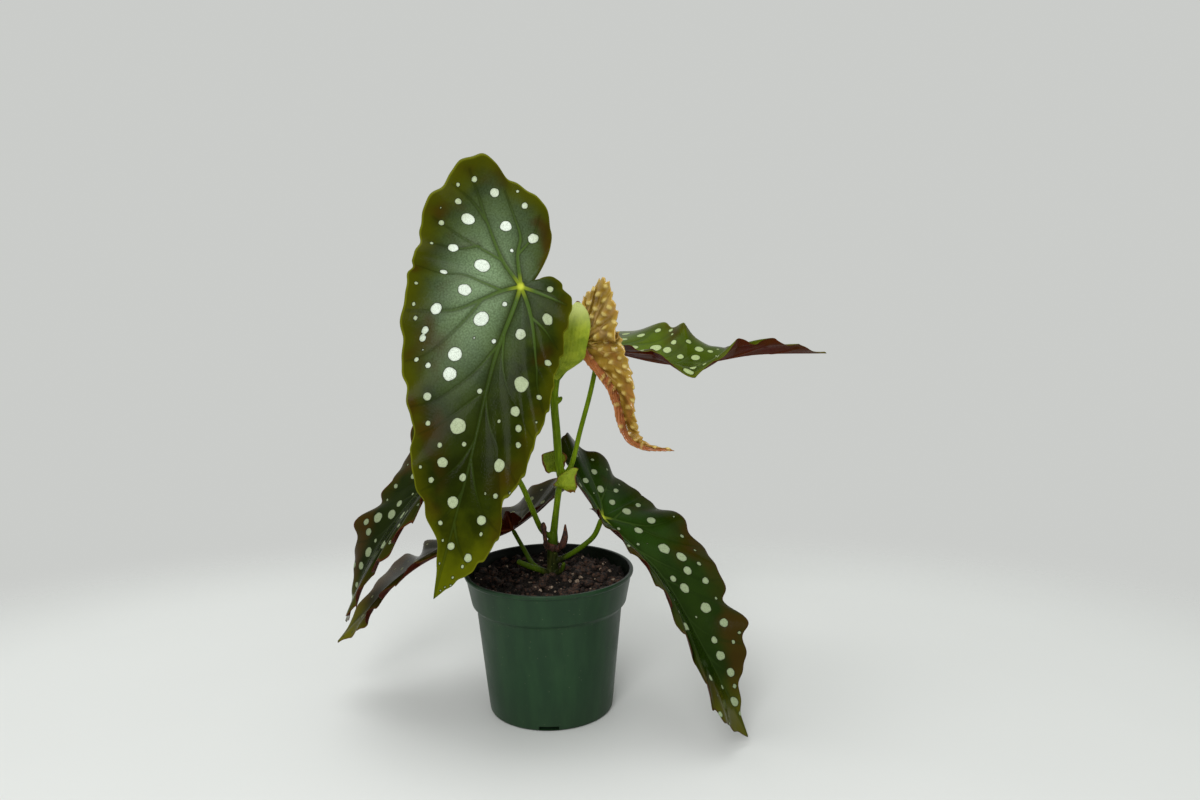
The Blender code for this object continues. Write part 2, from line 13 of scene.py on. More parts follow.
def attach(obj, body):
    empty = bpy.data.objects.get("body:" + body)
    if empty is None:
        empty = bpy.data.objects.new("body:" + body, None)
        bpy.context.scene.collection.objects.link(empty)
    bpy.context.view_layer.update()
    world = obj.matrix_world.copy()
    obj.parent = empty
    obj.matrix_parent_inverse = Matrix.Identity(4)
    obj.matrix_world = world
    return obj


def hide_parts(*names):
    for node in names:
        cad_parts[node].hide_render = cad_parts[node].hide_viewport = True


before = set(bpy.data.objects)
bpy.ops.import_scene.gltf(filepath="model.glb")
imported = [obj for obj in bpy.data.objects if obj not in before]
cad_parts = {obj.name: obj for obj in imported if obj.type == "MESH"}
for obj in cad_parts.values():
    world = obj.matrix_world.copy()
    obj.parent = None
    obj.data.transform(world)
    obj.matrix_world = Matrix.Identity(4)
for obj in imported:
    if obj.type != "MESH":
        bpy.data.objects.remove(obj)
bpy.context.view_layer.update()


# -------------------- nursery pot
# The pot is one thin wall of dark green polypropylene, pressed in a mould.  A deep band under
# the rolled lip lets such pots stack, and four slots at the foot let water out.
POT_CORNERS = (                # radius, height, rounding: up the inside, then down the outside
    (0, 1.8, 0), (37.6, 1.8, 1.6), (38.8, 5, 1.2), (45, 69.3, 1.2), (47.9, 72.2, 1.2),
    (51.4, 90.2, 0.8), (51.7, 92.4, 0.5), (54, 92.4, 0.7), (54, 90.3, 0.7), (52.75, 89.5, 0.5),
    (49.3, 71.9, 0.9), (46.45, 69.3, 1.4), (40, 4, 2.2), (39.4, 0, 2.1), (37, 0, 0.2), (0, 0, 0))
POT_TURNS, POT_TAPER = 200, 0.195
SLOT_WIDTH, SLOT_HEIGHT, SLOT_DEPTH, SLOT_FOOT, SLOT_RADIUS = 12.5, 2.7, 9.0, 0.7, 39.1
SHARP_FROM = 0.9               # the turn at an edge, in radians, from which it shows as sharp
MM = 0.001                     # a millimetre, in metres


def paint(red, green, blue):
    """A colour as a painter's 0 to 255 values, turned into the light that the shader counts."""
    share = np.array([red, green, blue]) / 255
    return (*np.where(share > 0.04045, ((share + 0.055) / 1.055) ** 2.4, share / 12.92), 1.0)


class Look:
    """A material whose nodes are wired one call at a time.  A colour is given as 0 to 255 values
    or as a node."""

    def __init__(self, name, **fixed):
        self.look = bpy.data.materials.new(name)
        self.look.use_nodes = True
        self.tree = self.look.node_tree
        self.shader = self.tree.nodes["Principled BSDF"]
        self.feed(self.shader, {k.replace("_", " "): v for k, v in fixed.items()})

    def feed(self, node, inputs):
        for socket, value in inputs.items():
            if isinstance(value, bpy.types.NodeSocket):
                self.tree.links.new(value, node.inputs[socket])
            else:
                node.inputs[socket].default_value = value

    def add(self, kind, inputs, out=0, **settings):
        node = self.tree.nodes.new("ShaderNode" + kind)
        for setting, value in settings.items():
            setattr(node, setting, value)
        self.feed(node, inputs)
        return node.outputs[out]

    def read(self, name, out="Fac"):
        return self.add("Attribute", {}, out, attribute_name=name)

    def place(self, stretch=(1, 1, 1)):
        """Where a point of the piece is, in metres, stretched for patterns with a grain."""
        where = self.add("TexCoord", {}, "Object")
        return self.add("Mapping", {"Vector": where, "Scale": stretch})

    def height(self):
        """Height (m) above the table top."""
        return self.add("SeparateXYZ", {0: self.place()}, 2)

    def away(self, x, y):
        """Distance (m) from the upright line through x, y (m)."""
        where = self.add("Mapping", {"Vector": self.place(), "Location": (-x, -y, 0),
                                     "Scale": (1, 1, 0)})
        return self.add("VectorMath", {0: where}, "Value", operation="LENGTH")

    def noise(self, where, scale, detail=3.0, rough=0.55):
        return self.add("TexNoise", {"Vector": where, "Scale": scale, "Detail": detail,
                                     "Roughness": rough})

    def cells(self, where, scale, feature="F1"):
        return self.add("TexVoronoi", {"Vector": where, "Scale": scale}, "Distance",
                        feature=feature)

    def ramp(self, value, low, high, start=0.0, end=1.0):
        """A soft step: start below low, end above high."""
        return self.add("MapRange", {0: value, 1: low, 2: high, 3: start, 4: end},
                        interpolation_type="SMOOTHSTEP")

    def math(self, kind, a, b=0.0):
        return self.add("Math", {0: a, 1: b}, operation=kind)

    def times(self, a, b):
        return self.math("MULTIPLY", a, b)

    def plus(self, a, b):
        return self.math("ADD", a, b)

    def mix(self, share, under, over):
        """One colour with a share of another over it."""
        under, over = (paint(*c) if isinstance(c, tuple) else c for c in (under, over))
        return self.add("Mix", {0: share, 6: under, 7: over}, 2, data_type="RGBA")

    def coats(self, colour, *layers):
        """A colour with others laid over it in turn: each layer is a colour and its share, or a
        colour, a value and the ramp that makes a share of it."""
        for over, share, *step in layers:
            colour = self.mix(self.ramp(share, *step) if step else share, colour, over)
        return colour

    def finish(self, colour, roughness, height=None, depth=0.0002, strength=0.5):
        self.feed(self.shader, {"Base Color": colour, "Roughness": roughness})
        if height is not None:
            bump = self.add("Bump", {"Height": height, "Distance": depth, "Strength": strength})
            self.feed(self.shader, {"Normal": bump})
        return self.look


def weld(points, faces):
    """Points at the same place become one, and triangles that lost a side are left out.
    Returns which points stay, and the faces counted over those."""
    near = np.round(points, 4) + 0.0
    _, keep, new = np.unique(near, axis=0, return_index=True, return_inverse=True)
    faces = new.reshape(-1)[faces]
    return keep, faces[(faces != np.roll(faces, 1, axis=1)).all(axis=1)]


def grid_faces(rows, columns):
    """Two triangles for each square of a grid of points that are counted row by row."""
    k = (np.arange(rows - 1)[:, None] * columns + np.arange(columns - 1)).ravel()
    return np.vstack([np.stack([k, k + columns, k + columns + 1], axis=1),
                      np.stack([k, k + columns + 1, k + 1], axis=1)])


def outward(points, faces):
    """The faces of a closed shape, turned round if they enclose less than nothing."""
    a, b, c = (points[faces[:, i]] for i in range(3))
    return faces if (a * np.cross(b, c)).sum() > 0 else faces[:, ::-1]


def closed(grid):
    """A grid of points whose edges meet, as the points and faces of one closed shape."""
    points = grid.reshape(-1, 3)
    keep, faces = weld(points, grid_faces(*grid.shape[:2]))
    return points[keep], outward(points[keep], faces)


def put(name, data):
    """A new object in the scene."""
    made = bpy.data.objects.new(name, data)
    bpy.context.scene.collection.objects.link(made)
    return made


def make_piece(name, points, faces, look, finish, stands_for=(), numbers=None):
    """A smooth closed mesh from points (mm) and faces, with its numbers kept at each point."""
    mesh = bpy.data.meshes.new(name)
    mesh.from_pydata(points * MM, [], faces)
    for key, values in (numbers or {}).items():
        kind, slot = ("FLOAT", "value") if values.ndim == 1 else ("FLOAT_VECTOR", "vector")
        store = mesh.attributes.new(key, kind, "POINT").data
        store.foreach_set(slot, values.astype(np.float32).ravel())
    mesh.shade_smooth()
    mesh.materials.append(look)
    piece = put(name, mesh)
    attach(piece, "root")
    if stands_for:
        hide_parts(*stands_for)
    return piece


def settle(piece):
    """Works the piece's modifiers into its mesh."""
    bpy.context.view_layer.update()
    mesh = bpy.data.meshes.new_from_object(
        piece.evaluated_get(bpy.context.evaluated_depsgraph_get()))
    piece.modifiers.clear()
    piece.data = mesh


def run_along(path):
    """How far along a path each of its points lies."""
    return np.concatenate([[0], np.cumsum(np.linalg.norm(np.diff(path, axis=0), axis=1))])


def rounded(corners, steps=6):
    """A profile whose corners are eased by the rounding given with each, as short curves, with
    points no more than 6 mm apart on the straight runs."""
    spots = np.array([c[:2] for c in corners], float)
    path = [spots[:1]]
    for before, here, after, ease in zip(spots, spots[1:], spots[2:], [c[2] for c in corners[1:]]):
        t = np.linspace(0, 1, steps)[:, None]
        start = here + (before - here) / np.linalg.norm(before - here) * ease
        end = here + (after - here) / np.linalg.norm(after - here) * ease
        path.append((1 - t) ** 2 * start + 2 * t * (1 - t) * here + t ** 2 * end)
    path = np.vstack(path + [spots[-1:]])
    run = run_along(path)
    extra = np.concatenate([np.linspace(a, b, int((b - a) / 6) + 2) for a, b in zip(run, run[1:])])
    run_all = np.unique(np.round(extra, 6))
    return np.stack([np.interp(run_all, run, path[:, i]) for i in (0, 1)], axis=1)


def once_round(count):
    """Even angles once round, the last the same as the first."""
    angle = np.linspace(0, 2 * np.pi, count + 1)
    angle[-1] = 0
    return angle


def turned(profile, turns):
    """A closed shape: a profile (radius, height) carried round the upright axis."""
    angle = once_round(turns)
    r, z = profile[:, :1], profile[:, 1:]
    return closed(np.stack([r * np.cos(angle), r * np.sin(angle), z + 0 * angle], axis=-1))


look = Look("pot_skin", IOR=1.5, Specular_IOR_Level=0.22)
grain = look.noise(look.place((1, 1, 0.18)), 130, 4)
scuff = look.noise(look.place(), 38, 5, 0.62)
height = look.height()
green = look.coats((24, 51, 29), ((30, 59, 33), grain, 0.35, 0.7),
                   ((48, 72, 47), scuff, 0.56, 0.78, 0, 0.3))
# Painted shade: the inside of the wall above the soil, which lies in shade, is darkened: it is
# nearer the axis than the wall's taper.
taper = look.math("SUBTRACT", look.away(0, 0), look.times(height, POT_TAPER))
inside = look.times(look.ramp(taper, 0.0343, 0.0347, 1, 0), look.ramp(height, 0.0745, 0.0765))
green = look.coats(look.mix(0.18, green, (44, 54, 38)), (green, height, 0, 0.035),
                   ((86, 92, 70), look.cells(look.place(), 260), 0.05, 0.11, 0.5, 0),
                   ((8, 10, 5), look.times(inside, 0.92)))
pores = look.plus(look.noise(look.place(), 620, 2), look.times(grain, 0.5))
pot_plastic = look.finish(green, look.ramp(scuff, 0.3, 0.75, 0.36, 0.5), pores, 0.00012, 0.35)
pot = make_piece("nursery_pot", *turned(rounded(POT_CORNERS), POT_TURNS), pot_plastic,
                 "pot_plastic", ["pot"])

corner = np.array([(x, y, z) for x in (-0.5, 0.5) for y in (-0.5, 0.5) for z in (-0.5, 0.5)])
corner = corner * (SLOT_DEPTH, SLOT_WIDTH, SLOT_HEIGHT)
corner = corner + (SLOT_RADIUS, 0, SLOT_FOOT + SLOT_HEIGHT / 2)
sides = np.array([(0, 1, 3, 2), (4, 6, 7, 5), (0, 4, 5, 1),
                  (2, 3, 7, 6), (0, 2, 6, 4), (1, 5, 7, 3)])
blocks = [corner @ np.array([(c, s, 0), (-s, c, 0), (0, 0, 1)])
          for c, s in ((1, 0), (0, 1), (-1, 0), (0, -1))]
cutter_mesh = bpy.data.meshes.new("slot_cutter")
cutter_mesh.from_pydata(np.vstack(blocks) * MM, [], np.vstack([sides + 8 * k for k in range(4)]))
cutter = put("slot_cutter", cutter_mesh)
cut = pot.modifiers.new("slots", "BOOLEAN")
cut.operation, cut.solver, cut.object = "DIFFERENCE", "MANIFOLD", cutter
settle(pot)
pot.data.set_sharp_from_angle(angle=SHARP_FROM)
bpy.data.objects.remove(cutter)


# -------------------- potting mix
# The pot is filled with a dark mix of peat, bark crumbs and white perlite.  It is loose stuff,
# firmed by hand and watered, so it lies nearly level with crumbs standing out of it.
SOIL_LEVEL, SOIL_TILT, SOIL_EDGE = 83.3, 0.055, 50.0
SOIL_BODY = ((49.9, -1.5), (47.5, -11.2), (44.6, -14.2), (38.6, -77.0), (36.4, -81.2), (0, -81.2))


def soil_height(x, y):
    """Nearly level ground, a little higher at the back: low clods, and over them a sum of many
    small waves with seeded directions, each as high as it is long to the power 0.8."""
    draw = np.random.default_rng(11)
    clods = (0.40 * np.sin(0.42 * x + 1.0) * np.sin(0.38 * y + 0.4)
             + 0.22 * np.sin(0.83 * x - 0.6 * y) + 0.15 * np.cos(1.1 * y + 0.5 * x))
    for long in np.geomspace(2.2, 13, 46):
        turn, start = draw.uniform(0, 2 * np.pi, 2)
        clods = clods + 0.056 * long ** 0.8 * np.sin(
            2 * np.pi / long * (x * np.cos(turn) + y * np.sin(turn)) + start)
    return SOIL_LEVEL + SOIL_TILT * y + clods


look = Look("soil_skin", Specular_IOR_Level=0.3)
peat = look.noise(look.place(), 420, 6, 0.7)
dirt = look.coats((9, 7, 4), ((30, 22, 14), peat, 0.38, 0.62),
                  ((84, 66, 46), look.noise(look.place(), 950, 3), 0.62, 0.72, 0, 0.6))
potting_mix = look.finish(dirt, look.ramp(peat, 0.3, 0.7, 0.98, 0.72), peat, 0.0016, 1)

angle = once_round(300)
ring = SOIL_EDGE * np.linspace(0, 1, 112)[:, None]
x, y = ring * np.cos(angle), ring * np.sin(angle)
top = np.stack([x, y, soil_height(x, y)], axis=-1)
body = np.array([(r * np.cos(angle), r * np.sin(angle), SOIL_LEVEL + dz + 0 * angle)
                 for r, dz in SOIL_BODY]).transpose(0, 2, 1)
make_piece("soil_filling", *closed(np.concatenate([top, body])), potting_mix, "potting_mix",
           ["soil"])


def ball(rows, columns):
    """A unit ball on rows of latitude."""
    up, way = np.linspace(0, np.pi, rows)[:, None], once_round(columns)
    return closed(np.stack([np.sin(up) * np.cos(way), np.sin(up) * np.sin(way),
                            np.cos(up) + 0 * way], axis=-1))


def crumbs(count, small, large, flatness, sunk, seed):
    """Many small lumps on the soil: balls with knocked corners, each stretched, turned and laid
    at a seeded place, partly sunk."""
    draw = np.random.default_rng(seed)
    shape, faces = ball(5, 7)
    size = draw.uniform(0, 1, count) ** 2.2 * (large - small) + small
    stretch = size[:, None] * np.stack([draw.uniform(0.7, 1.2, count), draw.uniform(0.6, 1.0, count),
                                        draw.uniform(flatness, 0.8, count)], axis=1) / 2
    lumps = shape[None] * draw.uniform(0.72, 1.2, (count, len(shape), 1)) * stretch[:, None]
    turn, lean = draw.uniform(0, 2 * np.pi, count), draw.normal(0, 0.45, count)
    c, s, cl, sl = np.cos(turn), np.sin(turn), np.cos(lean), np.sin(lean)
    zero = 0 * c
    spin = np.stack([c, -s * cl, s * sl, s, c * cl, -c * sl, zero, sl, cl], axis=1).reshape(-1, 3, 3)
    lumps = lumps @ spin.transpose(0, 2, 1)
    far = (SOIL_EDGE - 1.4 - size / 2) * np.sqrt(draw.uniform(0.004, 1, count))
    way = draw.uniform(0, 2 * np.pi, count)
    x, y = far * np.cos(way), far * np.sin(way)
    lumps = lumps + np.stack([x, y, soil_height(x, y) + size * sunk], axis=1)[:, None]
    steps = np.arange(count)[:, None, None] * len(shape)
    return lumps.reshape(-1, 3), (faces[None] + steps).reshape(-1, 3)


look = Look("bark_crumbs")
fibre = look.noise(look.place(), 520, 4, 0.6)
bark = look.finish(look.coats((16, 10, 6), ((76, 50, 33), fibre, 0.4, 0.66)), 0.85, fibre,
                   0.0006, 0.8)
make_piece("bark_crumbs", *crumbs(count=600, small=1.8, large=8, flatness=0.4, sunk=0.16, seed=21),
           bark, "potting_mix")

look = Look("perlite")
pits = look.noise(look.place(), 900, 3)
perlite = look.finish(look.coats((92, 74, 58), ((164, 146, 126), pits, 0.35, 0.65)), 0.9, pits,
                      0.0004, 0.7)
make_piece("perlite_crumbs", *crumbs(count=90, small=1.4, large=4.6, flatness=0.6, sunk=0.3, seed=33),
           perlite, "potting_mix")


# -------------------- leaf blades
# Six thin waxy blades, each lopsided like a wing: a deep ear on the wide half, a stalk that meets
# the blade off its middle, veins that fan out from there, silver spots on the upper face and a
# burgundy underside.  Each grew folded and opened, so every blade has its own bend and folds.
# A flat leaf's outline in thousandths of its length, along from the stalk and across to the
# narrow half.
WIDE_EDGE = ((-26, 36), (-100, 62), (-180, 64), (-250, 46), (-310, 0), (-360, -95), (-410, -150),
             (-427, -200), (-405, -255), (-300, -308), (-235, -348), (-130, -343), (0, -345),
             (75, -347), (146, -334), (235, -300), (310, -275), (450, -215), (540, -184),
             (600, -178), (655, -152), (770, -80), (820, -40), (900, -17), (1000, 0))
NARROW_EDGE = ((-26, 36), (-50, 85), (-20, 137), (23, 172), (80, 173), (143, 190), (240, 193),
               (315, 198), (405, 193), (482, 178), (593, 163), (670, 128), (742, 142), (812, 130),
               (889, 89), (942, 45), (1000, 0))
# spine: the midrib's route, its second point at the stalk.  hand: the side of the narrow half.
# facing: the way the upper face looks at the stalk and at the tip.  At the shares of the length
# in at: fold, how far the wide and the narrow half rise from the midrib (degrees), and the
# breadth of each.  scallops and waves: how many along the margin, and how high (mm).  curl: how
# far a half bends (degrees).  quilt: the swell between veins.  puckers: their pitch and height.
LEAVES = {
    "leaf_front": dict(
        length=186, hand=-1,
        spine=((0, -15, 335), (-10, -45, 275), (-25, -55, 235), (-40, -75, 175), (-60, -90, 105)),
        facing=((0, -0.95, 0.3), (0, -0.95, 0.3)),
        at=(0, 1), fold=((5, 10), (5, 10)), breadth=((1, 1), (1, 1)), curl=-12,
        waves=(9, 6, 1.8), scallops=(17, 0.8), quilt=1.05, slot="spotted_leaf"),
    "leaf_young": dict(
        length=98, hand=1,
        spine=((25, 10, 245), (25, 10, 235), (45, 5, 205), (55, 0, 175), (80, -10, 170)),
        facing=((-0.3, -0.9, 0.4), (-0.2, -0.9, 0.4)),
        at=(0, 0.5, 1), fold=((25, 45, 35), (75, 80, 60)),
        breadth=((0.8, 0.65, 0.6), (0.9, 0.85, 0.7)), waves=(12, 9, 1.0),
        scallops=(31, 1.0), quilt=0.3, puckers=(8.6, 1.5), slot="young_leaf"),
    "leaf_right_upper": dict(
        length=143, hand=1,
        spine=((0, 30, 240), (35, 30, 230), (85, 20, 220), (135, 25, 225), (180, 25, 225)),
        facing=((0, 0, 1), (0, 0, 1)),
        at=(0, 0.25, 0.4, 0.6, 1), fold=((5, 30, 45, 5, 35), (15, 25, -10, 40, 25)),
        breadth=((1, 1, 1, 1, 1), (1, 1, 1, 1, 1)), waves=(9, 8, 1.5),
        scallops=(12, 0.8), quilt=0.9, slot="spotted_leaf"),
    "leaf_right_lower": dict(
        length=151, hand=1,
        spine=((15, 15, 150), (35, 0, 125), (70, -25, 95), (95, -50, 55), (120, -60, 5)),
        facing=((0.65, -0.5, 0.5), (0.4, -0.8, 0.45)),
        at=(-0.35, 0, 0.5, 1), fold=((0, 10, 25, 35), (85, 40, 40, 35)),
        breadth=((0.65, 0.75, 1, 1.8), (1, 1, 1, 1.5)), waves=(9, 8, 2.6),
        scallops=(14, 1.2), quilt=1, slot="spotted_leaf_dark"),
    "leaf_left_upper": dict(
        length=152, hand=-1,
        spine=((-10, 5, 220), (-40, -10, 185), (-85, -20, 140), (-110, -15, 105), (-130, -5, 60)),
        facing=((-0.7, -0.35, 0.6), (-0.65, -0.45, 0.6)),
        at=(0, 0.4, 0.6, 1), fold=((30, 15, 30, 20), (30, 15, 10, 25)),
        breadth=((1, 0.7, 0.9, 1.4), (1, 1.2, 1.1, 1.4)), waves=(9, 8, 2.3),
        scallops=(14, 1.5), quilt=1, slot="spotted_leaf_dark"),
    "leaf_left_lower": dict(
        length=145, hand=-1,
        spine=((25, 55, 140), (-25, 30, 110), (-80, 10, 95), (-120, 15, 60), (-140, 10, 40)),
        facing=((-0.5, 0.1, 0.85), (-0.3, -0.1, 0.95)),
        at=(-0.35, 0, 0.5, 1), fold=((20, 15, 5, 30), (70, 35, 10, -10)),
        breadth=((0.8, 0.9, 1, 3), (1.2, 1, 1, 1)), waves=(9, 8, 2.0),
        scallops=(13, 1.3), quilt=1, slot="spotted_leaf_dark"),
}
# Veins in hundredths of the length, along and across in the same way.
VEINS = (
    ((0, 0), (12, 0), (34, 0), (60, 0), (85, 0), (100, 0)),
    ((0, 0), (-7, -7), (-20, -14), (-29, -18), (-37, -22)),
    ((-20, -14), (-27, -20), (-32, -27)),
    ((-7, -7), (-10, -14), (-14, -22), (-20, -31)),
    ((-11, -15.5), (-9, -22), (-10, -31)),
    ((0, 0), (-10, -3), (-16, -3), (-23, -6), (-31, -10)),
    ((-10, -3), (-17, 1), (-24, 2)),
    ((0, 0), (3, -5), (8, -10), (14, -16), (17, -23), (19, -30)),
    ((3, -5), (2, -12), (1, -18), (3, -25), (2, -33)),
    ((8, -10), (16, -12.5), (23, -16.5), (29, -22), (31, -26)),
    ((0, 0), (1, 8), (2, 15)),
    ((0, 0), (8, 6), (15, 10), (23, 13), (29, 14.5), (37, 18)),
    ((8, 6), (10, 11), (14, 17)),
    ((19, 0), (28, -4), (35, -9), (41, -15), (44, -21)),
    ((34, 0), (40, -5), (47, -11), (52, -17)),
    ((50, 0), (58, -3), (64, -7), (69, -12)),
    ((66, 0), (72, -2), (78, -5)),
    ((15, 0), (28, 4), (38, 10), (46, 17)),
    ((36, 0), (46, 4), (54, 10), (60, 15)),
    ((56, 0), (65, 4), (71, 8), (75, 13)),
    ((76, 0), (82, 3), (87, 7)))
# Spots in the same hundredths, each with its mean width in mm.
SPOTS = {
    "leaf_front": (
        (-20, -20, 8.2), (-19, -8, 7), (-4, -13, 9.4), (7, -16, 8.4), (14, -8, 9),
        (26, -12, 8.2), (32, -12, 8), (30, 10, 9.6), (47, -6, 9.6), (-30, -13, 5.8),
        (-16, 1, 6.4), (-9, -23, 6.4), (16, -22, 6.4), (7, 11, 6.4), (14, 5, 6.6), (39, 10, 6),
        (59, -8, 6.2), (56, 9, 7.2), (70, -2, 6.8), (73, 8, 5.6), (85, 7, 5), (-34, -20, 3.8),
        (-32, -25, 2.8), (-26, -24, 4.4), (-18, -28, 3.6), (-27, -3, 4.2), (2, -24, 4.4),
        (-1, 9, 3.8), (22, -23, 4), (24, -23, 3.8), (20, 16, 4.2), (30, -23, 2.8), (31, -19, 3.4),
        (40, -17, 4.8), (35, -2, 3.2), (33, 16, 3.4), (48, -15, 3.2), (44, 12, 4.2), (54, -10, 3),
        (52, -3, 2.8), (49, 13, 3.4), (62, -1, 4.4), (65, -10, 3.4), (65, 10, 3), (77, -4, 2.8),
        (83, 1, 4.6), (-23, -29, 1.4), (-32, -6, 2), (-10, -30, 2.4), (-11, -5, 2.4),
        (11, -31, 2.4), (7, -3, 3), (17, -29, 2.2), (20, -27, 2.4), (19, -2, 2.8), (20, -8, 1.2),
        (27, -22, 1.2), (43, 6, 2.4), (41, 17, 1.6), (62, -14, 2), (65, 7, 1.6), (63, 14, 1.6),
        (77, 9, 2.2), (82, -2, 1.6), (88, 6, 2), (92, 4, 1.6), (89, -1, 1.3), (94.5, 4, 1.2),
        (95.5, 2.5, 1.1), (96.8, 1.5, 1)),
    "leaf_right_lower": (
        (3, -16, 6.4), (3, -26, 4.2), (-12, -13, 5.6), (13, -20, 5.6), (13, -10, 5.4),
        (25, -11, 7.2), (31, -14, 5.8), (25, -24, 2.4), (36, -12, 5), (36, -4, 4),
        (41, -6, 6), (42, -16, 4), (36, -18, 2.4), (51, -9, 6.6), (59, -11, 5.2), (63, -5, 4.2),
        (69, -4, 5.6), (76, -4, 5), (67, -10, 2.4), (65, -13, 2), (81, -3, 2.4), (86, -1, 6),
        (91, -1, 2.8), (79, 1, 2.8), (13, 11, 4.6), (18, 4, 3.8), (31, 18, 3.4), (45, 16, 2.8),
        (56, 14, 2.8), (84, 11, 3.2), (90, 7, 2.4)),
    "leaf_right_upper": (
        (6, -27, 5), (13, -21, 5.4), (20, -25, 5), (28, -25, 4.4), (23, -10, 8),
        (29, -9, 6.4), (32, -14, 4.8), (41, -14, 4), (46, -10, 6.6), (51, -8, 4), (36, -5, 4.8),
        (43, -4, 6), (38, 17, 5)),
    "leaf_left_upper": (
        (54, -10, 6.6), (59, -13, 4), (61, -9, 4.6), (61, -3, 2.6), (67, -3, 6.4), (74, -3, 5),
        (77, -7, 4), (43, -6, 4.6), (43, 5, 4.8), (45, 17, 2.6), (82, -1, 4), (88, -1, 3.4))}
# Looks of the blades, in the order of LEAVES: the skin and what lies on it with its painted sheen,
# the veins, the spots with their dark ring and their lighter colour in the painted sheen, and the
# underside.  shine: the wax.  soft: spots' edges.
BLADE_LOOKS = dict(
    deep=((25, 32, 1), (112, 82, 20), (50, 64, 2), (22, 38, 2), (17, 26, 0), (20, 20, 1)),
    light=((46, 57, 4), (182, 152, 60), (70, 90, 6), (36, 56, 8), (29, 38, 2), (36, 32, 4)),
    # painted sheen: a lighter colour on a soft patch of the upper face, where the lamp's soft
    # reflection falls
    bloom=((122, 146, 108), (180, 150, 60), (84, 104, 16), (40, 66, 22), (40, 54, 18), (46, 48, 20)),
    rust=((56, 38, 4), (170, 120, 60), *[(56, 38, 4)] * 4),
    rim=((66, 68, 2), (180, 146, 58), (76, 84, 6), (44, 48, 6), (48, 48, 4), (56, 50, 8)),
    # tip: partly the blade's own yellower tip, partly painted light shining through the thin blade
    tip=((86, 92, 4), (182, 136, 64), (84, 66, 20), (78, 76, 8), (66, 66, 6), (88, 86, 12)),
    edge=((104, 108, 20), (204, 170, 90), (92, 100, 20), (62, 40, 14), (84, 34, 18), (92, 52, 22)),
    vein=((74, 98, 40), (196, 160, 96), (74, 98, 40), (56, 78, 30), (54, 66, 24), (56, 54, 20)),
    spot=((172, 184, 148), (226, 206, 124), (170, 186, 130), (148, 162, 126), (136, 148, 114),
          (112, 116, 84)),
    # painted highlight: the spots' lighter colour inside the painted sheen
    spot_in_sheen=((224, 234, 220), (230, 212, 132), (176, 192, 138), (160, 174, 138), (148, 160, 126),
            (120, 126, 92)),
    ring=((22, 24, 1), (160, 130, 50), *[(22, 24, 1)] * 4),
    under=((64, 20, 5), (156, 122, 52), (74, 18, 5), (64, 20, 5), (64, 20, 5), (64, 20, 5)),
    under_vein=((112, 56, 30), (186, 142, 82), *[(112, 56, 30)] * 4),
    shine=(0.03, 0.6, 0.05, 0.08, 0.06, 0.05), soft=(0.12, 0.34, 0.12, 0.12, 0.12, 0.12))
YOUNG_BLUSH, YOUNG_BLOTCH, YOUNG_PLEATS = (178, 108, 66), (132, 66, 38), 13
HALF_THICK, EDGE_THINS, RIB_HEIGHT = 0.38, 0.22, 0.8
VEIN_FALL, VEIN_THINS = 4.5, 0.68
CREASE, CREASE_BY_NOTCH = 3.0, 8.0     # how softly a blade of the front leaf's length folds


def curve_through(points, samples=240):
    """A rounded path through the points (Catmull-Rom with square-root chord spacing), read at
    even steps along its length.  Returns the path's points and their distances from its start."""
    points = np.asarray(points, dtype=float)
    ends = np.vstack([2 * points[0] - points[1], points, 2 * points[-1] - points[-2]])
    knots = np.concatenate([[0], np.cumsum(np.sqrt(np.linalg.norm(np.diff(ends, axis=0), axis=1)))])
    pieces = []
    for i in range(1, len(points)):
        p, k = ends[i - 1:i + 3], knots[i - 1:i + 3]
        t = np.linspace(k[1], k[2], 24, endpoint=(i == len(points) - 1))[:, None]

        def blend(a, b, ta, tb):
            return (tb - t) / (tb - ta) * a + (t - ta) / (tb - ta) * b

        a1, a2, a3 = (blend(p[j], p[j + 1], k[j], k[j + 1]) for j in range(3))
        pieces.append(blend(blend(a1, a2, k[0], k[2]), blend(a2, a3, k[1], k[3]), k[1], k[2]))
    path = np.vstack(pieces)
    run = run_along(path)
    even = np.linspace(0, run[-1], samples)
    return np.stack([np.interp(even, run, column) for column in path.T], axis=1), even


def read_along(where, stations, values):
    """Straight-line reading of a column or rows of values between stations."""
    values = np.asarray(values, dtype=float)
    if values.ndim == 1:
        return np.interp(where, stations, values)
    return np.stack([np.interp(where, stations, column) for column in values.T], axis=-1)


def by_half(leaf, size, x, y):
    """A size of the leaf at share x of its length, on the half where y is."""
    wide, narrow = (read_along(x, leaf["at"], values) for values in leaf[size])
    return np.where(y > 0, narrow, wide)


def unit(rows):
    return rows / np.linalg.norm(rows, axis=-1, keepdims=True)


def leaf_frame(leaf):
    """Along the midrib: its place, its direction, the way to the narrow half and the way that
    the upper face looks, against q, which is 0 at the stalk and 1 at the tip."""
    path, run = curve_through(leaf["spine"], 300)
    run = run - run[np.linalg.norm(path - np.array(leaf["spine"][1]), axis=1).argmin()]
    q = np.where(run > 0, run / run[-1], run / leaf["length"])
    along = unit(np.gradient(path, run, axis=0))
    face = read_along(q, (0, 1), unit(np.array(leaf["facing"], dtype=float)))
    face = unit(face - along * (face * along).sum(axis=1, keepdims=True))
    return q, path, along, np.cross(along, face) * leaf["hand"], face


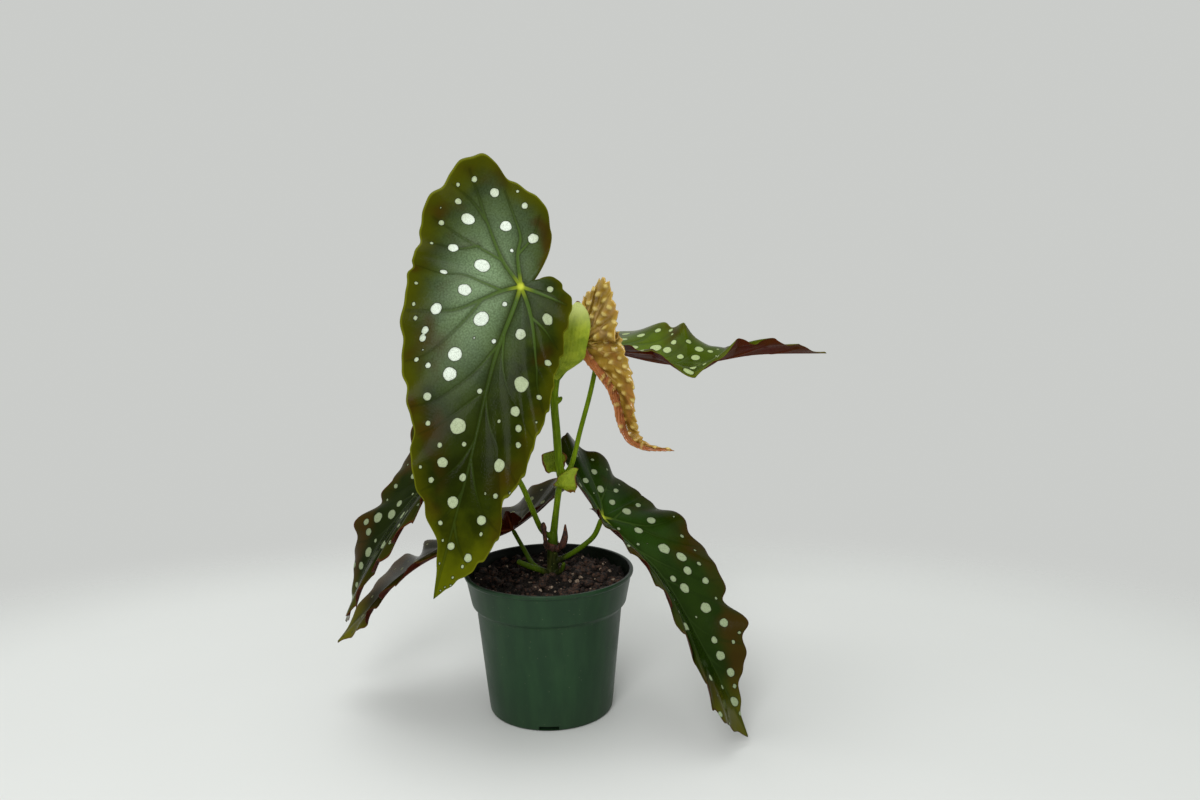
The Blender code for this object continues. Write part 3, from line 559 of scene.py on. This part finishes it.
def flat_blade(leaf, b, a):
    """Where a point lies on the flat leaf, in shares of its length.  b runs along the margin
    from the notch at the stalk (0) to the tip (1); a runs across, -1 on the wide margin, 0 on
    the midrib, 1 on the narrow margin.  A row starts on the midrib (at the stalk while b is
    under a half) and ends on the margin, like a side vein.  The margin is the plain outline
    moved out or in by the leaf's scallops: two waves added together."""
    wide, narrow = (read_along(b, np.linspace(0, 1, 400),
                               curve_through(np.array(edge) / 1000, 400)[0])
                    for edge in (WIDE_EDGE, NARROW_EDGE))
    arm = np.where((a < 0)[..., None], wide, narrow)
    root = np.stack([np.clip((b - 0.5) / 0.5, 0, 1) ** 1.6, 0 * b], axis=-1)
    arm = arm - root
    count, height = leaf["scallops"]
    move = height * (np.sin(2 * np.pi * count * b + 1) + 0.5 * np.sin(3.4 * np.pi * count * b))
    move = move * np.clip(b * 20, 0, 1) * np.clip((1 - b) * 8, 0, 1)
    size = np.maximum(np.linalg.norm(arm, axis=-1), 0.03)
    arm = arm * (1 + move / leaf["length"] / size)[..., None]
    return np.moveaxis(root + arm * np.abs(a)[..., None], -1, 0)


def bent_blade(leaf, b, a, x, y):
    """The flat leaf laid along its bent midrib: each half rises by its fold angle, from a soft
    crease, and bends by its curl; ripples grow towards the margin."""
    length = leaf["length"]
    waves_wide, waves_narrow, height = leaf["waves"]
    count = np.where(a < 0, waves_wide, waves_narrow)
    ripple = height * np.abs(a) ** 3 * np.sin(2 * np.pi * count * b + np.where(a < 0, 0, 1.7))
    ripple = ripple * np.clip(b * 20, 0, 1) * np.clip((1 - b) * 6, 0, 1)
    q, path, along, across, face = leaf_frame(leaf)
    centre = read_along(x, q, path)
    centre = centre + read_along(x, q, along) * (np.minimum(x - q[0], 0) * length)[..., None]
    fold = np.radians(by_half(leaf, "fold", x, y))
    out = np.abs(y) * length * by_half(leaf, "breadth", x, y)
    bend = np.radians(leaf.get("curl", 0.001)) / (np.where(y > 0, 0.18, 0.34) * length)
    sideways = (np.sin(fold + bend * out) - np.sin(fold)) / bend
    rise = (np.cos(fold) - np.cos(fold + bend * out)) / bend
    soft = np.where(x < 0, CREASE_BY_NOTCH, CREASE) * length / LEAVES["leaf_front"]["length"]
    rise = rise * (np.hypot(out, soft) - soft) / np.maximum(out, 1e-6) + ripple
    return (centre + read_along(x, q, across) * (np.sign(y) * sideways)[..., None]
            + read_along(x, q, face) * rise[..., None])


def vein_pull(x, y, length):
    """How much of a vein a point has, 0 to 1: a wide fall that draws the blade down, and a
    narrow bell, as broad as the vein, for its rib and colour.  A vein is stoutest at the stalk
    and thins outwards, and side veins are thinner."""
    here = np.stack([x, y], axis=1)
    wide, narrow = np.zeros(len(x)), np.zeros(len(x))
    for rank, vein in enumerate(VEINS):
        path, run = curve_through(np.array(vein) / 100, 60)
        stout = 1.0 if rank == 0 else 0.85 if vein[0] == (0, 0) else 0.6
        stout = stout * (1 - VEIN_THINS * run / run[-1])
        along = unit(np.gradient(path, axis=0))
        near = ((here[:, None] - path) ** 2).sum(2).argmin(1)
        off = here - path[near]
        slide = np.clip((off * along[near]).sum(1), -run[1] / 2, run[1] / 2)
        off = np.linalg.norm(off - along[near] * slide[:, None], axis=1) * length
        wide = np.maximum(wide, stout[near] * np.exp(-off / VEIN_FALL))
        bell = np.exp(-(off / (0.6 + 0.7 * stout[near])) ** 2)
        narrow = np.maximum(narrow, np.clip(1.3 * stout[near], 0, 1) * bell)
    return wide, narrow


def nearest_spot(leaf, x, y, spots, seed):
    """Signed distance (mm) to the edge of the nearest spot, less than 0 inside.  A spot is an
    ellipse along the side veins with a slightly wavy outline, measured on the leaf as wide as
    it lies."""
    draw, length = np.random.default_rng(seed), leaf["length"]
    across = y * by_half(leaf, "breadth", x, y)
    best = np.full(len(x), 9.0)
    for spot_x, spot_y, width in spots:
        lie = np.arctan2(spot_y, spot_x - np.clip(spot_x - 0.35, 0, 1) * 0.8)
        spot_across = spot_y * by_half(leaf, "breadth", spot_x, spot_y)
        dx, dy = (x - spot_x) * length, (across - spot_across) * length
        u, v = dx * np.cos(lie) + dy * np.sin(lie), dy * np.cos(lie) - dx * np.sin(lie)
        long, size = draw.uniform(1.0, 1.1), 0.46 * width
        wobble, start = draw.uniform(0.0, 0.04, 3), draw.uniform(0, 6.3, 3)
        turn = np.arctan2(v, u)
        wave = 1 + sum(w * np.sin(n * turn + s) for n, w, s in zip((2, 3, 5), wobble, start))
        best = np.minimum(best, (np.hypot(u / long, v * long) / (size * wave) - 1) * size)
    return best


def spots_of(name, seed):
    """A leaf's own spots, and between them the front leaf's pattern, each moved a little."""
    own, front = ([(x / 100, y / 100, width) for x, y, width in SPOTS.get(key, ())]
                  for key in (name, "leaf_front"))
    if name == "leaf_front":
        return own
    draw = np.random.default_rng(seed)
    for spot_x, spot_y, width in front:
        here = np.array([spot_x, spot_y]) + draw.uniform(-0.016, 0.016, 2)
        if min((np.hypot(*(here - spot[:2])) for spot in own), default=1) > 0.045:
            own.append((*here, width * draw.uniform(0.5, 0.75)))
    return own


def leaf_look(name):
    """Waxy skin: a mottled green upper face that is paler at the rim, fine net veins, the
    stouter veins, silver spots with a thin dark outline, and a burgundy underside.  Light and
    shade are painted into the colour too: a painted sheen on a soft patch of the upper face and
    its spots, painted shade in the grooves along the veins and over the half towards the tip,
    and painted light through the thin blade at its tip."""
    tone = {key: row[list(LEAVES).index(name)] for key, row in BLADE_LOOKS.items()}
    look = Look(name + "_skin", IOR=1.45, Specular_IOR_Level=tone["shine"])
    flat = look.read("flat", "Vector")
    spot, vein, side, half, from_stalk, hill, bloom = map(
        look.read, ("spot", "vein", "side", "half", "from_stalk", "hill", "bloom"))
    reach = look.math("ABSOLUTE", half)
    mottle, fine = look.noise(flat, 0.42, 5, 0.6), look.noise(flat, 9, 3)
    grain, speck = look.noise(flat, 6.5, 4, 0.75), look.noise(flat, 17, 3, 0.6)
    net = look.cells(flat, 4.2, "DISTANCE_TO_EDGE")
    along = look.times(look.add("SeparateXYZ", {0: flat}, 0), 10 / LEAVES[name]["length"])
    outer, ahead = (look.plus(far, look.times(mottle, 0.3)) for far in (reach, along))
    edge = look.plus(spot, look.times(look.math("SUBTRACT", grain, 0.5), 0.8))
    # The painted sheen is mottled and lies on the swells between the veins.
    sheen_on_hills = look.times(look.ramp(fine, 0.3, 0.7, 0.6, 1.1),
                       look.ramp(hill, 0.15, 0.95, 0.25, 0.95))
    patch = look.times(look.ramp(look.noise(flat, 0.3, 2), 0.48, 0.66, 0, 0.75),
                       look.ramp(reach, 0.35, 0.8))
    line, fade = look.ramp(vein, 0.24, 0.7), look.ramp(from_stalk, 8, 72, 0.78, 0.18)
    line_colour = look.coats((134, 148, 38), (tone["vein"], from_stalk, 2, 9.5))
    # Spots are lighter inside the painted sheen: a painted highlight.
    pale = look.coats(tone["spot"], (tone["spot_in_sheen"], bloom, 0.03, 0.38))
    worn = look.mix(0.5, pale, tone["light"])
    pale = look.coats(pale, (worn, grain, 0.52, 0.68, 0, 0.5), (worn, speck, 0.48, 0.66, 0, 0.6),
                      (worn, net, 0, 0.05, 0.6, 0), (worn, edge, -0.9, -0.1, 0, 0.5))
    skin = look.coats(
        tone["deep"], (tone["light"], mottle, 0.36, 0.66),
        # Painted sheen on the swells, and painted shade: deep green in the low ground along the
        # veins.
        (tone["bloom"], look.times(bloom, sheen_on_hills)), (tone["deep"], hill, 0, 0.8, 0.5, 0),
        # The deep green over the half towards the tip is painted shade.
        (tone["light"], net, 0, 0.07, 0.10, 0), (tone["deep"], along, 0.18, 0.5, 0, 0.5),
        (tone["rim"], outer, 0.84, 1.16, 0, 0.8), (tone["rust"], patch),
        # The tip colour is partly the blade's own and partly painted light shining through the thin
        # blade.
        (tone["tip"], ahead, 0.84, 1.14, 0, 0.9), (tone["edge"], reach, 0.972, 0.992, 0, 0.7),
        # The deep green at the veins' edges is painted shade of their grooves.
        (tone["deep"], vein, 0.05, 0.26, 0, 0.35), (line_colour, look.times(line, fade)),
        ((188, 196, 64), from_stalk, 0.8, 2.9, 0.95, 0), (tone["ring"], edge, 0.10, 0.56, 0.95, 0),
        (pale, edge, -tone["soft"], tone["soft"], 1, 0))
    if name == "leaf_young":
        red = look.times(look.ramp(half, -0.06, 0.10), look.ramp(spot, -0.2, 0.4, 0.3, 0.9))
        blush = look.coats(YOUNG_BLUSH, (YOUNG_BLOTCH, mottle, 0.35, 0.65, 0, 0.7))
        skin = look.mix(red, skin, blush)
    dull = look.mix(0.25, tone["under"], tone["light"])
    back = look.coats(tone["under"], (dull, mottle, 0.35, 0.7, 0, 0.6),
                      (tone["under_vein"], look.times(line, 0.8)))
    gloss = look.plus(look.ramp(edge, -0.2, 0.2, 0.50, 0.17),
                      look.times(look.math("SUBTRACT", fine, 0.5), 0.10))
    gloss = look.plus(gloss, look.ramp(side, 0.35, 0.65, 0.25, 0))
    relief = look.plus(look.ramp(net, 0, 0.2), look.times(fine, 0.4))
    return look.finish(look.coats(back, (skin, side, 0.35, 0.65)), gloss, relief, 0.00012, 0.16)


def shell(top, under, faces):
    """The two sides of a sheet, joined by a wall along its rim, where an edge has one face."""
    count = len(top)
    edges = np.concatenate([faces[:, [0, 1]], faces[:, [1, 2]], faces[:, [2, 0]]])
    key = edges.min(1) * count + edges.max(1)
    _, first, times = np.unique(key, return_index=True, return_counts=True)
    a, b = edges[first[times == 1]].T
    wall = np.vstack([np.stack([b, a, a + count], axis=1),
                      np.stack([b, a + count, b + count], axis=1)])
    return np.vstack([top, under]), np.vstack([faces, faces[:, ::-1] + count, wall])


def make_blade(name, leaf, rows, columns, seed):
    """A closed blade: the bent middle sheet, swollen between the veins, set off by half of its
    thickness to each side, thinner at the margin, with the veins as ribs on the underside.  A
    puckered blade has round bumps too: the high squares of a warped chequer board."""
    b, a = np.meshgrid(np.linspace(0, 1, rows), np.linspace(-1, 1, 2 * columns + 1), indexing="ij")
    a[0, columns + 1:] = -a[0, :columns][::-1]
    x, y = flat_blade(leaf, b, a)
    b, a, x, y = (part.ravel() for part in (b, a, x, y))
    sheet = bent_blade(leaf, b, a, x, y)
    keep, faces = weld(sheet, grid_faces(rows, 2 * columns + 1))
    sheet, b, a, x, y = (part[keep] for part in (sheet, b, a, x, y))
    deep, vein = vein_pull(x, y, leaf["length"])
    spot = nearest_spot(leaf, x, y, spots_of(name, seed), seed)
    reach = np.abs(a)
    calm = 1 - reach ** 6
    swell = leaf["quilt"] * (1 - deep) * calm
    if "puckers" in leaf:
        pitch, height = leaf["puckers"]
        wave_x = sheet[:, 0] + 1.2 * np.sin(sheet[:, 2] / 2.9)
        wave_z = sheet[:, 2] + 1.2 * np.sin(sheet[:, 0] / 3.7)
        bump = np.cos(2 * np.pi * wave_x / pitch) * np.cos(2 * np.pi * wave_z / pitch)
        bump = np.clip(bump, 0, 1) ** 0.8 * np.clip(reach * 5, 0, 1)
        pleat = (1 - np.abs(np.cos(YOUNG_PLEATS * np.pi * b)) ** 3) * np.where(a < 0, 1, 0.25)
        swell = swell + height * (0.7 * bump + 0.8 * pleat) * (1 - reach ** 10)
        spot = 0.74 - bump
    corners = sheet[faces]
    flat_normal = np.cross(corners[:, 1] - corners[:, 0], corners[:, 2] - corners[:, 0])
    q, _, _, _, face = leaf_frame(leaf)
    if (read_along(x[faces[:, 0]], q, face) * flat_normal).sum() < 0:
        faces, flat_normal = faces[:, ::-1], -flat_normal
    normal = unit(np.stack([sum(np.bincount(faces[:, k], flat_normal[:, i], len(sheet))
                                for k in range(3)) for i in range(3)], axis=1) + 1e-12)
    thick = HALF_THICK - EDGE_THINS * reach ** 4
    top = sheet + normal * (swell + thick)[:, None]
    under = sheet + normal * (swell - thick - RIB_HEIGHT * vein * calm)[:, None]
    # Where the painted sheen lies: a soft patch beside the midrib near the stalk, on the wide half.
    bloom = np.exp(-((x - 0.04) / 0.27) ** 2 - ((y + 0.11) / 0.12) ** 2)
    numbers = dict(spot=spot, vein=vein, half=a, bloom=bloom, hill=swell / swell.max(),
                   from_stalk=np.hypot(x, y) * leaf["length"],
                   flat=np.stack([x, y, 0 * x], axis=1) * leaf["length"] / 10)
    numbers = {key: np.concatenate([at_top, at_top]) for key, at_top in numbers.items()}
    numbers["side"] = np.repeat([1.0, 0.0], len(sheet))
    make_piece(name.replace("leaf", "blade"), *shell(top, under, faces), leaf_look(name),
               leaf["slot"], [name], numbers)


for seed, (name, leaf) in enumerate(LEAVES.items(), 5):
    rows, columns = (360, 66) if name == "leaf_front" else (280, 44)
    make_blade(name, leaf, rows, columns, seed)


# -------------------- cane and leaf stalks
# One young green cane rises from an older woody foot, with a swollen ring at each joint.  The
# leaf stalks, a cut stub, a side shoot and a bud grow out of it as one living piece.
# Each stem is a route of points, with its radius there.
STEMS = {
    "old_cane": (
        (2, 13, 76, 3.9), (2, 13, 90, 3.7), (2.2, 12, 103, 3.6), (2.7, 11.4, 109, 3.2),
        (3.2, 11, 113, 2.5), (5.2, 9.6, 128, 2.1), (7.3, 8, 142, 2.15), (9.2, 7.3, 148.5, 2.9),
        (8.6, 7, 153, 2.9), (7.6, 6.6, 160, 2.65), (6.6, 5.4, 180, 2.6), (5.6, 4, 200, 2.55),
        (6.6, 3, 210, 2.4), (8.2, 2.2, 216.5, 2)),
    "stalk_front": (
        (7, 2.8, 211, 1.9), (5, -1, 220, 1.9), (1.5, -12, 238, 1.8), (-4, -28, 258, 1.75)),
    "stalk_young": ((8, 2.4, 214, 1.8), (12, 4.5, 218.5, 1.5), (19, 7.6, 224.5, 1.3)),
    "stalk_right_upper": (
        (9.4, 7.2, 149, 2), (12.5, 7.2, 153, 1.9), (15.5, 7.4, 158, 1.7), (21.5, 8.4, 180, 1.6),
        (28, 9.6, 203, 1.6), (31.5, 10.8, 218, 1.6)),
    "stalk_right_lower": (
        (2.5, 12.6, 92, 2), (6, 11.6, 94, 1.9), (13, 9.4, 98, 1.75), (20.5, 7, 103.5, 1.75),
        (29, 5, 111.5, 1.75)),
    "stalk_left_upper": (
        (3, 11.2, 109, 1.9), (-0.6, 10.6, 111, 1.9), (-4.2, 10, 114.5, 1.85), (-10.5, 6, 131, 1.8),
        (-16.4, 2, 147.3, 1.8), (-27, -3, 166, 1.75)),
    "stalk_left_lower": (
        (1, 13, 84.5, 1.9), (-5, 13.6, 86.8, 1.7), (-11, 15, 90.3, 1.6), (-17, 19.5, 99, 1.5)),
    "cut_stub": ((0, 11, 84.5, 2.2), (-5, 8.6, 88, 2), (-12, 7.2, 91, 1.9), (-21, 6, 95.4, 1.7)),
    "young_bud": ((6.6, 4.4, 199, 2), (9.3, 4, 201, 1.5), (10.4, 3.9, 203, 0.9)),
    "side_shoot": ((4, 10.5, 84.5, 1.7), (8.2, 7.6, 89, 1.5), (9.7, 5.6, 94.5, 1.2))}


def tube(route, sides=22, step=0.8):
    """A round stem: a circle carried along the route, its radius read between the route's
    points, with a domed end."""
    route = np.array(route, float)
    spots, radii = route[:, :3], route[:, 3]
    lengths = np.linalg.norm(np.diff(spots, axis=0), axis=1)
    path, run = curve_through(spots, int(lengths.sum() / step) + 8)
    radius = np.interp(run / run[-1], run_along(spots) / lengths.sum(), radii)
    to_end = np.minimum(run, run[-1] - run) / radius
    radius = radius * np.sqrt(np.clip(1 - np.clip(1 - to_end, 0, 1) ** 2, 0, 1))
    along = unit(np.gradient(path, axis=0))
    side = unit(np.cross(along, (0.35, 0.9, 0.25)))
    turn = once_round(sides)
    circle = (np.cos(turn)[:, None] * side[:, None]
              + np.sin(turn)[:, None] * np.cross(side, along)[:, None])
    return closed(path[:, None] + radius[:, None, None] * circle)


def stack(shapes):
    """Several shapes' points and faces as one."""
    starts = np.cumsum([0] + [len(p) for p, _ in shapes])
    return (np.vstack([p for p, _ in shapes]),
            np.vstack([f + s for (_, f), s in zip(shapes, starts)]))


def fuse(piece, voxel, smoothing):
    """Makes the piece's overlapping shapes one skin, a little rounded where they meet."""
    whole = piece.modifiers.new("one_skin", "REMESH")
    whole.mode, whole.voxel_size, whole.use_smooth_shade = "VOXEL", voxel * MM, True
    soft = piece.modifiers.new("soften", "SMOOTH")
    soft.factor, soft.iterations = 0.5, smoothing
    settle(piece)
    piece.data.shade_smooth()


look = Look("stem_skin", IOR=1.45, Specular_IOR_Level=0.12)
rise = look.height()
age = look.math("MAXIMUM", look.ramp(look.away(0.0023, 0.012), 0.006, 0.012),
                look.ramp(rise, 0.096, 0.112))
streak = look.noise(look.place((1, 1, 0.12)), 700, 3)
fleck = look.cells(look.place((1, 1, 0.55)), 520)
# Low down among the lower leaves, below 105 to 135 mm, the young green is darkened: painted shade.
young = look.coats((92, 118, 2), ((120, 148, 12), streak, 0.35, 0.7),
                   ((54, 78, 8), rise, 0.105, 0.135, 0.75, 0))
stem_green = look.coats((30, 38, 12), ((62, 66, 26), streak, 0.4, 0.7), (young, age),
                        ((150, 160, 88), fleck, 0.07, 0.16, 0.55, 0))
stem_skin = look.finish(stem_green, look.ramp(streak, 0.3, 0.7, 0.36, 0.5), streak, 0.0002, 0.5)

tubes = []
for name, route in STEMS.items():
    route, tip = list(route), name.replace("stalk", "leaf")
    if tip in LEAVES:
        q, path, _, _, face = leaf_frame(LEAVES[tip])
        here = np.abs(q).argmin()
        route.append((*(path[here] - face[here] * 0.6 * route[-1][3]), route[-1][3]))
    tubes.append(tube(route))
stems = make_piece("cane_and_stalks", *stack(tubes), stem_skin, "green_stem", ["stems"])
fuse(stems, 0.48, 4)


# -------------------- stipules
# Papery sheaths that once wrapped the buds: a big lime green one at the tip of the cane and two
# that clasp the middle joint, each a thin bowed skin with fine ribs along it and a dry brown edge.
# Rows of height, left and right margin, and depth, all in mm.
STIPULES = {
    # The big one's bright lime colours, palest at the top, are partly its own and partly painted
    # light shining through the thin skin.
    "stipule_apex": dict(
        rows=((263.2, 20.6, 22.8, -6), (260.2, 16.8, 25.8, -6.5), (256.6, 13.4, 28.2, -7.2),
              (251.8, 10.4, 28.8, -8), (245.8, 8.1, 28.4, -8.6), (236.6, 7.3, 27.2, -8.6),
              (229.1, 6.5, 24.8, -7.6), (223.5, 5.8, 18.3, -6.4), (219.7, 5, 13, -5.4),
              (215.2, 5.2, 8, -4.4)),
        bow=0.22, curl=0.5, deep=(118, 140, 6), light=(164, 180, 36), vein=(186, 196, 84),
        top=(200, 210, 132), dry=(1.24, 1.36), low=(1.2, 1.3)),
    "stipule_node_left": dict(
        rows=((167, 2.4, 9.3, 8.6), (165.4, -3.1, 11.6, 8.6), (163.1, -3.7, 12.6, 8.6),
              (160.5, -2.8, 12, 8.4), (157.9, -2.3, 11, 8.4), (155.4, -1.5, 9.5, 7.6),
              (153.6, 1.2, 7, 7)),
        bow=-0.3, curl=0.5, deep=(112, 138, 12), light=(146, 168, 30), vein=(160, 174, 60),
        top=(138, 140, 40), dry=(1.04, 1.2), low=(1.2, 1.3)),
    "stipule_node_right": dict(
        rows=((157.6, 15.8, 20, 2.4), (154.8, 10.2, 19.1, 1.6), (152.3, 6.5, 18, 1.2),
              (149.8, 5.8, 18.4, 1), (147.2, 4.4, 19.2, 1), (144.8, 9.6, 18.6, 1.4),
              (142, 15, 17.6, 2)),
        bow=0.36, curl=0.8, deep=(110, 134, 8), light=(150, 170, 30), vein=(186, 194, 70),
        top=(150, 170, 40), dry=(1.04, 1.22), low=(0.92, 1.02)),
}
SHEATH_ROWS, SHEATH_COLUMNS = 70, 41


def make_stipule(name, spec):
    """A bowed sheet between two margins: at height z it spans from left to right, its depth is
    the row's less bow times half its width times 1 - v^2, and its margins are wavy.  Fine ribs
    run along it, and the skin is thin at its edges."""
    rows = curve_through(spec["rows"], SHEATH_ROWS)[0]
    u, v = (part.ravel() for part in np.meshgrid(
        np.linspace(0, 1, SHEATH_ROWS), np.linspace(-1, 1, SHEATH_COLUMNS), indexing="ij"))
    z, left, right, depth = (np.repeat(column, SHEATH_COLUMNS) for column in rows.T)
    half = (right - left) / 2
    half = half * (1 + 0.05 * np.sin(17 * u + 2 * v) * v ** 2)
    x = (left + right) / 2 + half * v
    depth = depth - spec["bow"] * half * (1 - v ** 2) - 0.09 * np.cos(9 * np.pi * v) * (1 - v ** 4)
    depth = depth - spec["curl"] * np.sin(11 * u + 2.6 * v) * v ** 2
    sheet = np.stack([x, depth, z - 0.8 * v ** 2], axis=1)
    grid = sheet.reshape(SHEATH_ROWS, SHEATH_COLUMNS, 3)
    outer = unit(np.cross(np.gradient(grid, axis=0), np.gradient(grid, axis=1)).reshape(-1, 3))
    thick = (0.30 - 0.16 * v ** 4)[:, None]
    points, faces = shell(sheet + outer * thick, sheet - outer * thick,
                          grid_faces(SHEATH_ROWS, SHEATH_COLUMNS))

    look = Look(name + "_skin", IOR=1.4, Specular_IOR_Level=0.3)
    up, over = look.read("up"), look.read("over")
    rib = look.add("TexWave", {"Vector": look.add("CombineXYZ", {0: over, 1: look.times(up, 0.15)}),
                               "Scale": 5.5, "Distortion": 1.4, "Detail": 2.0})
    blot = look.noise(look.place(), 160, 4)
    dry = look.plus(look.math("ABSOLUTE", over), look.times(blot, 0.5))
    low = look.plus(up, look.times(blot, 0.2))
    skin = look.coats(
        spec["deep"], (spec["light"], blot, 0.35, 0.68), (spec["top"], up, 0.05, 0.4, 0.9, 0.0),
        (spec["vein"], rib, 0.55, 1, 0, 0.28), ((112, 68, 30), dry, *spec["dry"]),
        ((104, 62, 28), up, 0.012, 0.03, 1, 0), ((116, 60, 26), low, *spec["low"], 0, 0.85))
    skin = look.finish(skin, 0.42, look.plus(rib, blot), 0.0002, 0.35)
    make_piece(name.replace("stipule", "sheath"), points, outward(points, faces), skin, "stipule",
               [name], dict(up=np.tile(u, 2), over=np.tile(v, 2)))


for name, spec in STIPULES.items():
    make_stipule(name, spec)


# -------------------- dry scales at the foot
# The leaf scars of the first leaves: a corky ring round the old cane, one dried scale that stands
# up from it and one shrivelled bud.  They are dead tissue, brown and wrinkled.
SCALES = {
    "dry_scale": ((7, 10.4, 102, 1.6), (8.7, 9.6, 104.5, 2.5), (10.4, 9.4, 110, 2.1),
                  (10.8, 9.6, 118.5, 0.5)),
    "dead_bud": ((-0.4, 6.9, 104.6, 1.4), (-1.8, 5.2, 108, 1.3), (-2.4, 4.6, 114, 1.4),
                 (-3, 4.4, 118, 2.1), (-3, 4.4, 121.6, 0.9))}
RING = ((3.7, -2.4, 0.4), (3.7, 2.2, 0.4), (5.2, 2.4, 0.6), (6.0, 0.4, 0.8), (5.5, -2.2, 0.7),
        (3.7, -2.4, 0.4))
RING_PLACE, RING_TILT = (2.3, 12.0, 103.5), np.radians(16)

look = Look("dry_skin")
wrinkle = look.noise(look.place((1, 1, 0.3)), 900, 5, 0.65)
dry_brown = look.coats((34, 17, 9), ((84, 44, 24), wrinkle, 0.36, 0.66),
                       ((120, 62, 24), look.noise(look.place(), 260, 2), 0.52, 0.7, 0, 0.6))
dry_skin = look.finish(dry_brown, 0.72, wrinkle, 0.0006, 0.9)

points, faces = turned(rounded(RING, 4), 60)
lump = np.arctan2(points[:, 1], points[:, 0])
points = points * (1 + 0.07 * np.sin(7 * lump) + 0.05 * np.sin(13 * lump + 1))[:, None]
c, s = np.cos(RING_TILT), np.sin(RING_TILT)
points = points @ np.array([(c, 0, -s), (0, 1, 0), (s, 0, c)]) + RING_PLACE
shapes = [(points, faces)] + [tube(route, 16, 0.5) for route in SCALES.values()]
make_piece("dry_scales", *stack(shapes), dry_skin, "dry_scale", ["base_scales"])


# -------------------- table, light and camera
# A plain pale table top that fades into the pale room behind it, soft studio light from large
# lamps, and the camera in front and a little above, looking slightly down at the plant.
table_mesh = bpy.data.meshes.new("table_top")
table_mesh.from_pydata([(-3, -3, 0), (3, -3, 0), (3, 3, 0), (-3, 3, 0)], [], [(0, 1, 2, 3)])
look = Look("pale_table", Specular_IOR_Level=0.3)
spread = look.add("VectorMath", {0: look.place((0.6, 1, 0))}, "Value", operation="LENGTH")
look.feed(look.shader, {"Alpha": look.ramp(spread, 0.24, 0.42, 1, 0)})
veil = look.mix(look.noise(look.place(), 3, 3), (212, 214, 212), (220, 222, 220))
table_mesh.materials.append(look.finish(veil, 0.6))
table = put("table_top", table_mesh)

world = bpy.data.worlds.new("studio")
bpy.context.scene.world = world
world.use_nodes = True
walls = world.node_tree.nodes["Background"].inputs
walls["Color"].default_value = paint(226, 228, 225)
walls["Strength"].default_value = 0.78


def add_lamp(name, place, target, wide, tall, power):
    """A rectangular soft lamp at a place (m), turned to its target."""
    lamp = bpy.data.lights.new(name, "AREA")
    lamp.shape, lamp.size, lamp.size_y, lamp.energy = "RECTANGLE", wide, tall, power
    made = put(name, lamp)
    made.location = place
    made.rotation_mode = "QUATERNION"
    made.rotation_quaternion = (Vector(place) - Vector(target)).to_track_quat("Z", "Y")


add_lamp("window", (-0.20, -1.25, 1.02), (-0.02, 0, 0.25), 0.5, 0.8, 12)
add_lamp("overhead", (-0.3, 0.1, 1.5), (0, 0, 0.15), 1.0, 1.0, 7)

PITCH, ROLL = np.radians(9.68), np.radians(-0.81)
lens = bpy.data.cameras.new("camera")
lens.lens, lens.sensor_width = 33.0, 36.0
lens.clip_start, lens.clip_end = 0.01, 20
camera = put("camera", lens)
camera.location = (0.0343, -0.6754, 0.3161)
camera.rotation_euler = (Matrix.Rotation(np.pi / 2 - PITCH, 3, "X")
                         @ Matrix.Rotation(ROLL, 3, "Z")).to_euler()
bpy.context.scene.camera = camera
bpy.context.scene.view_settings.view_transform = "Standard"
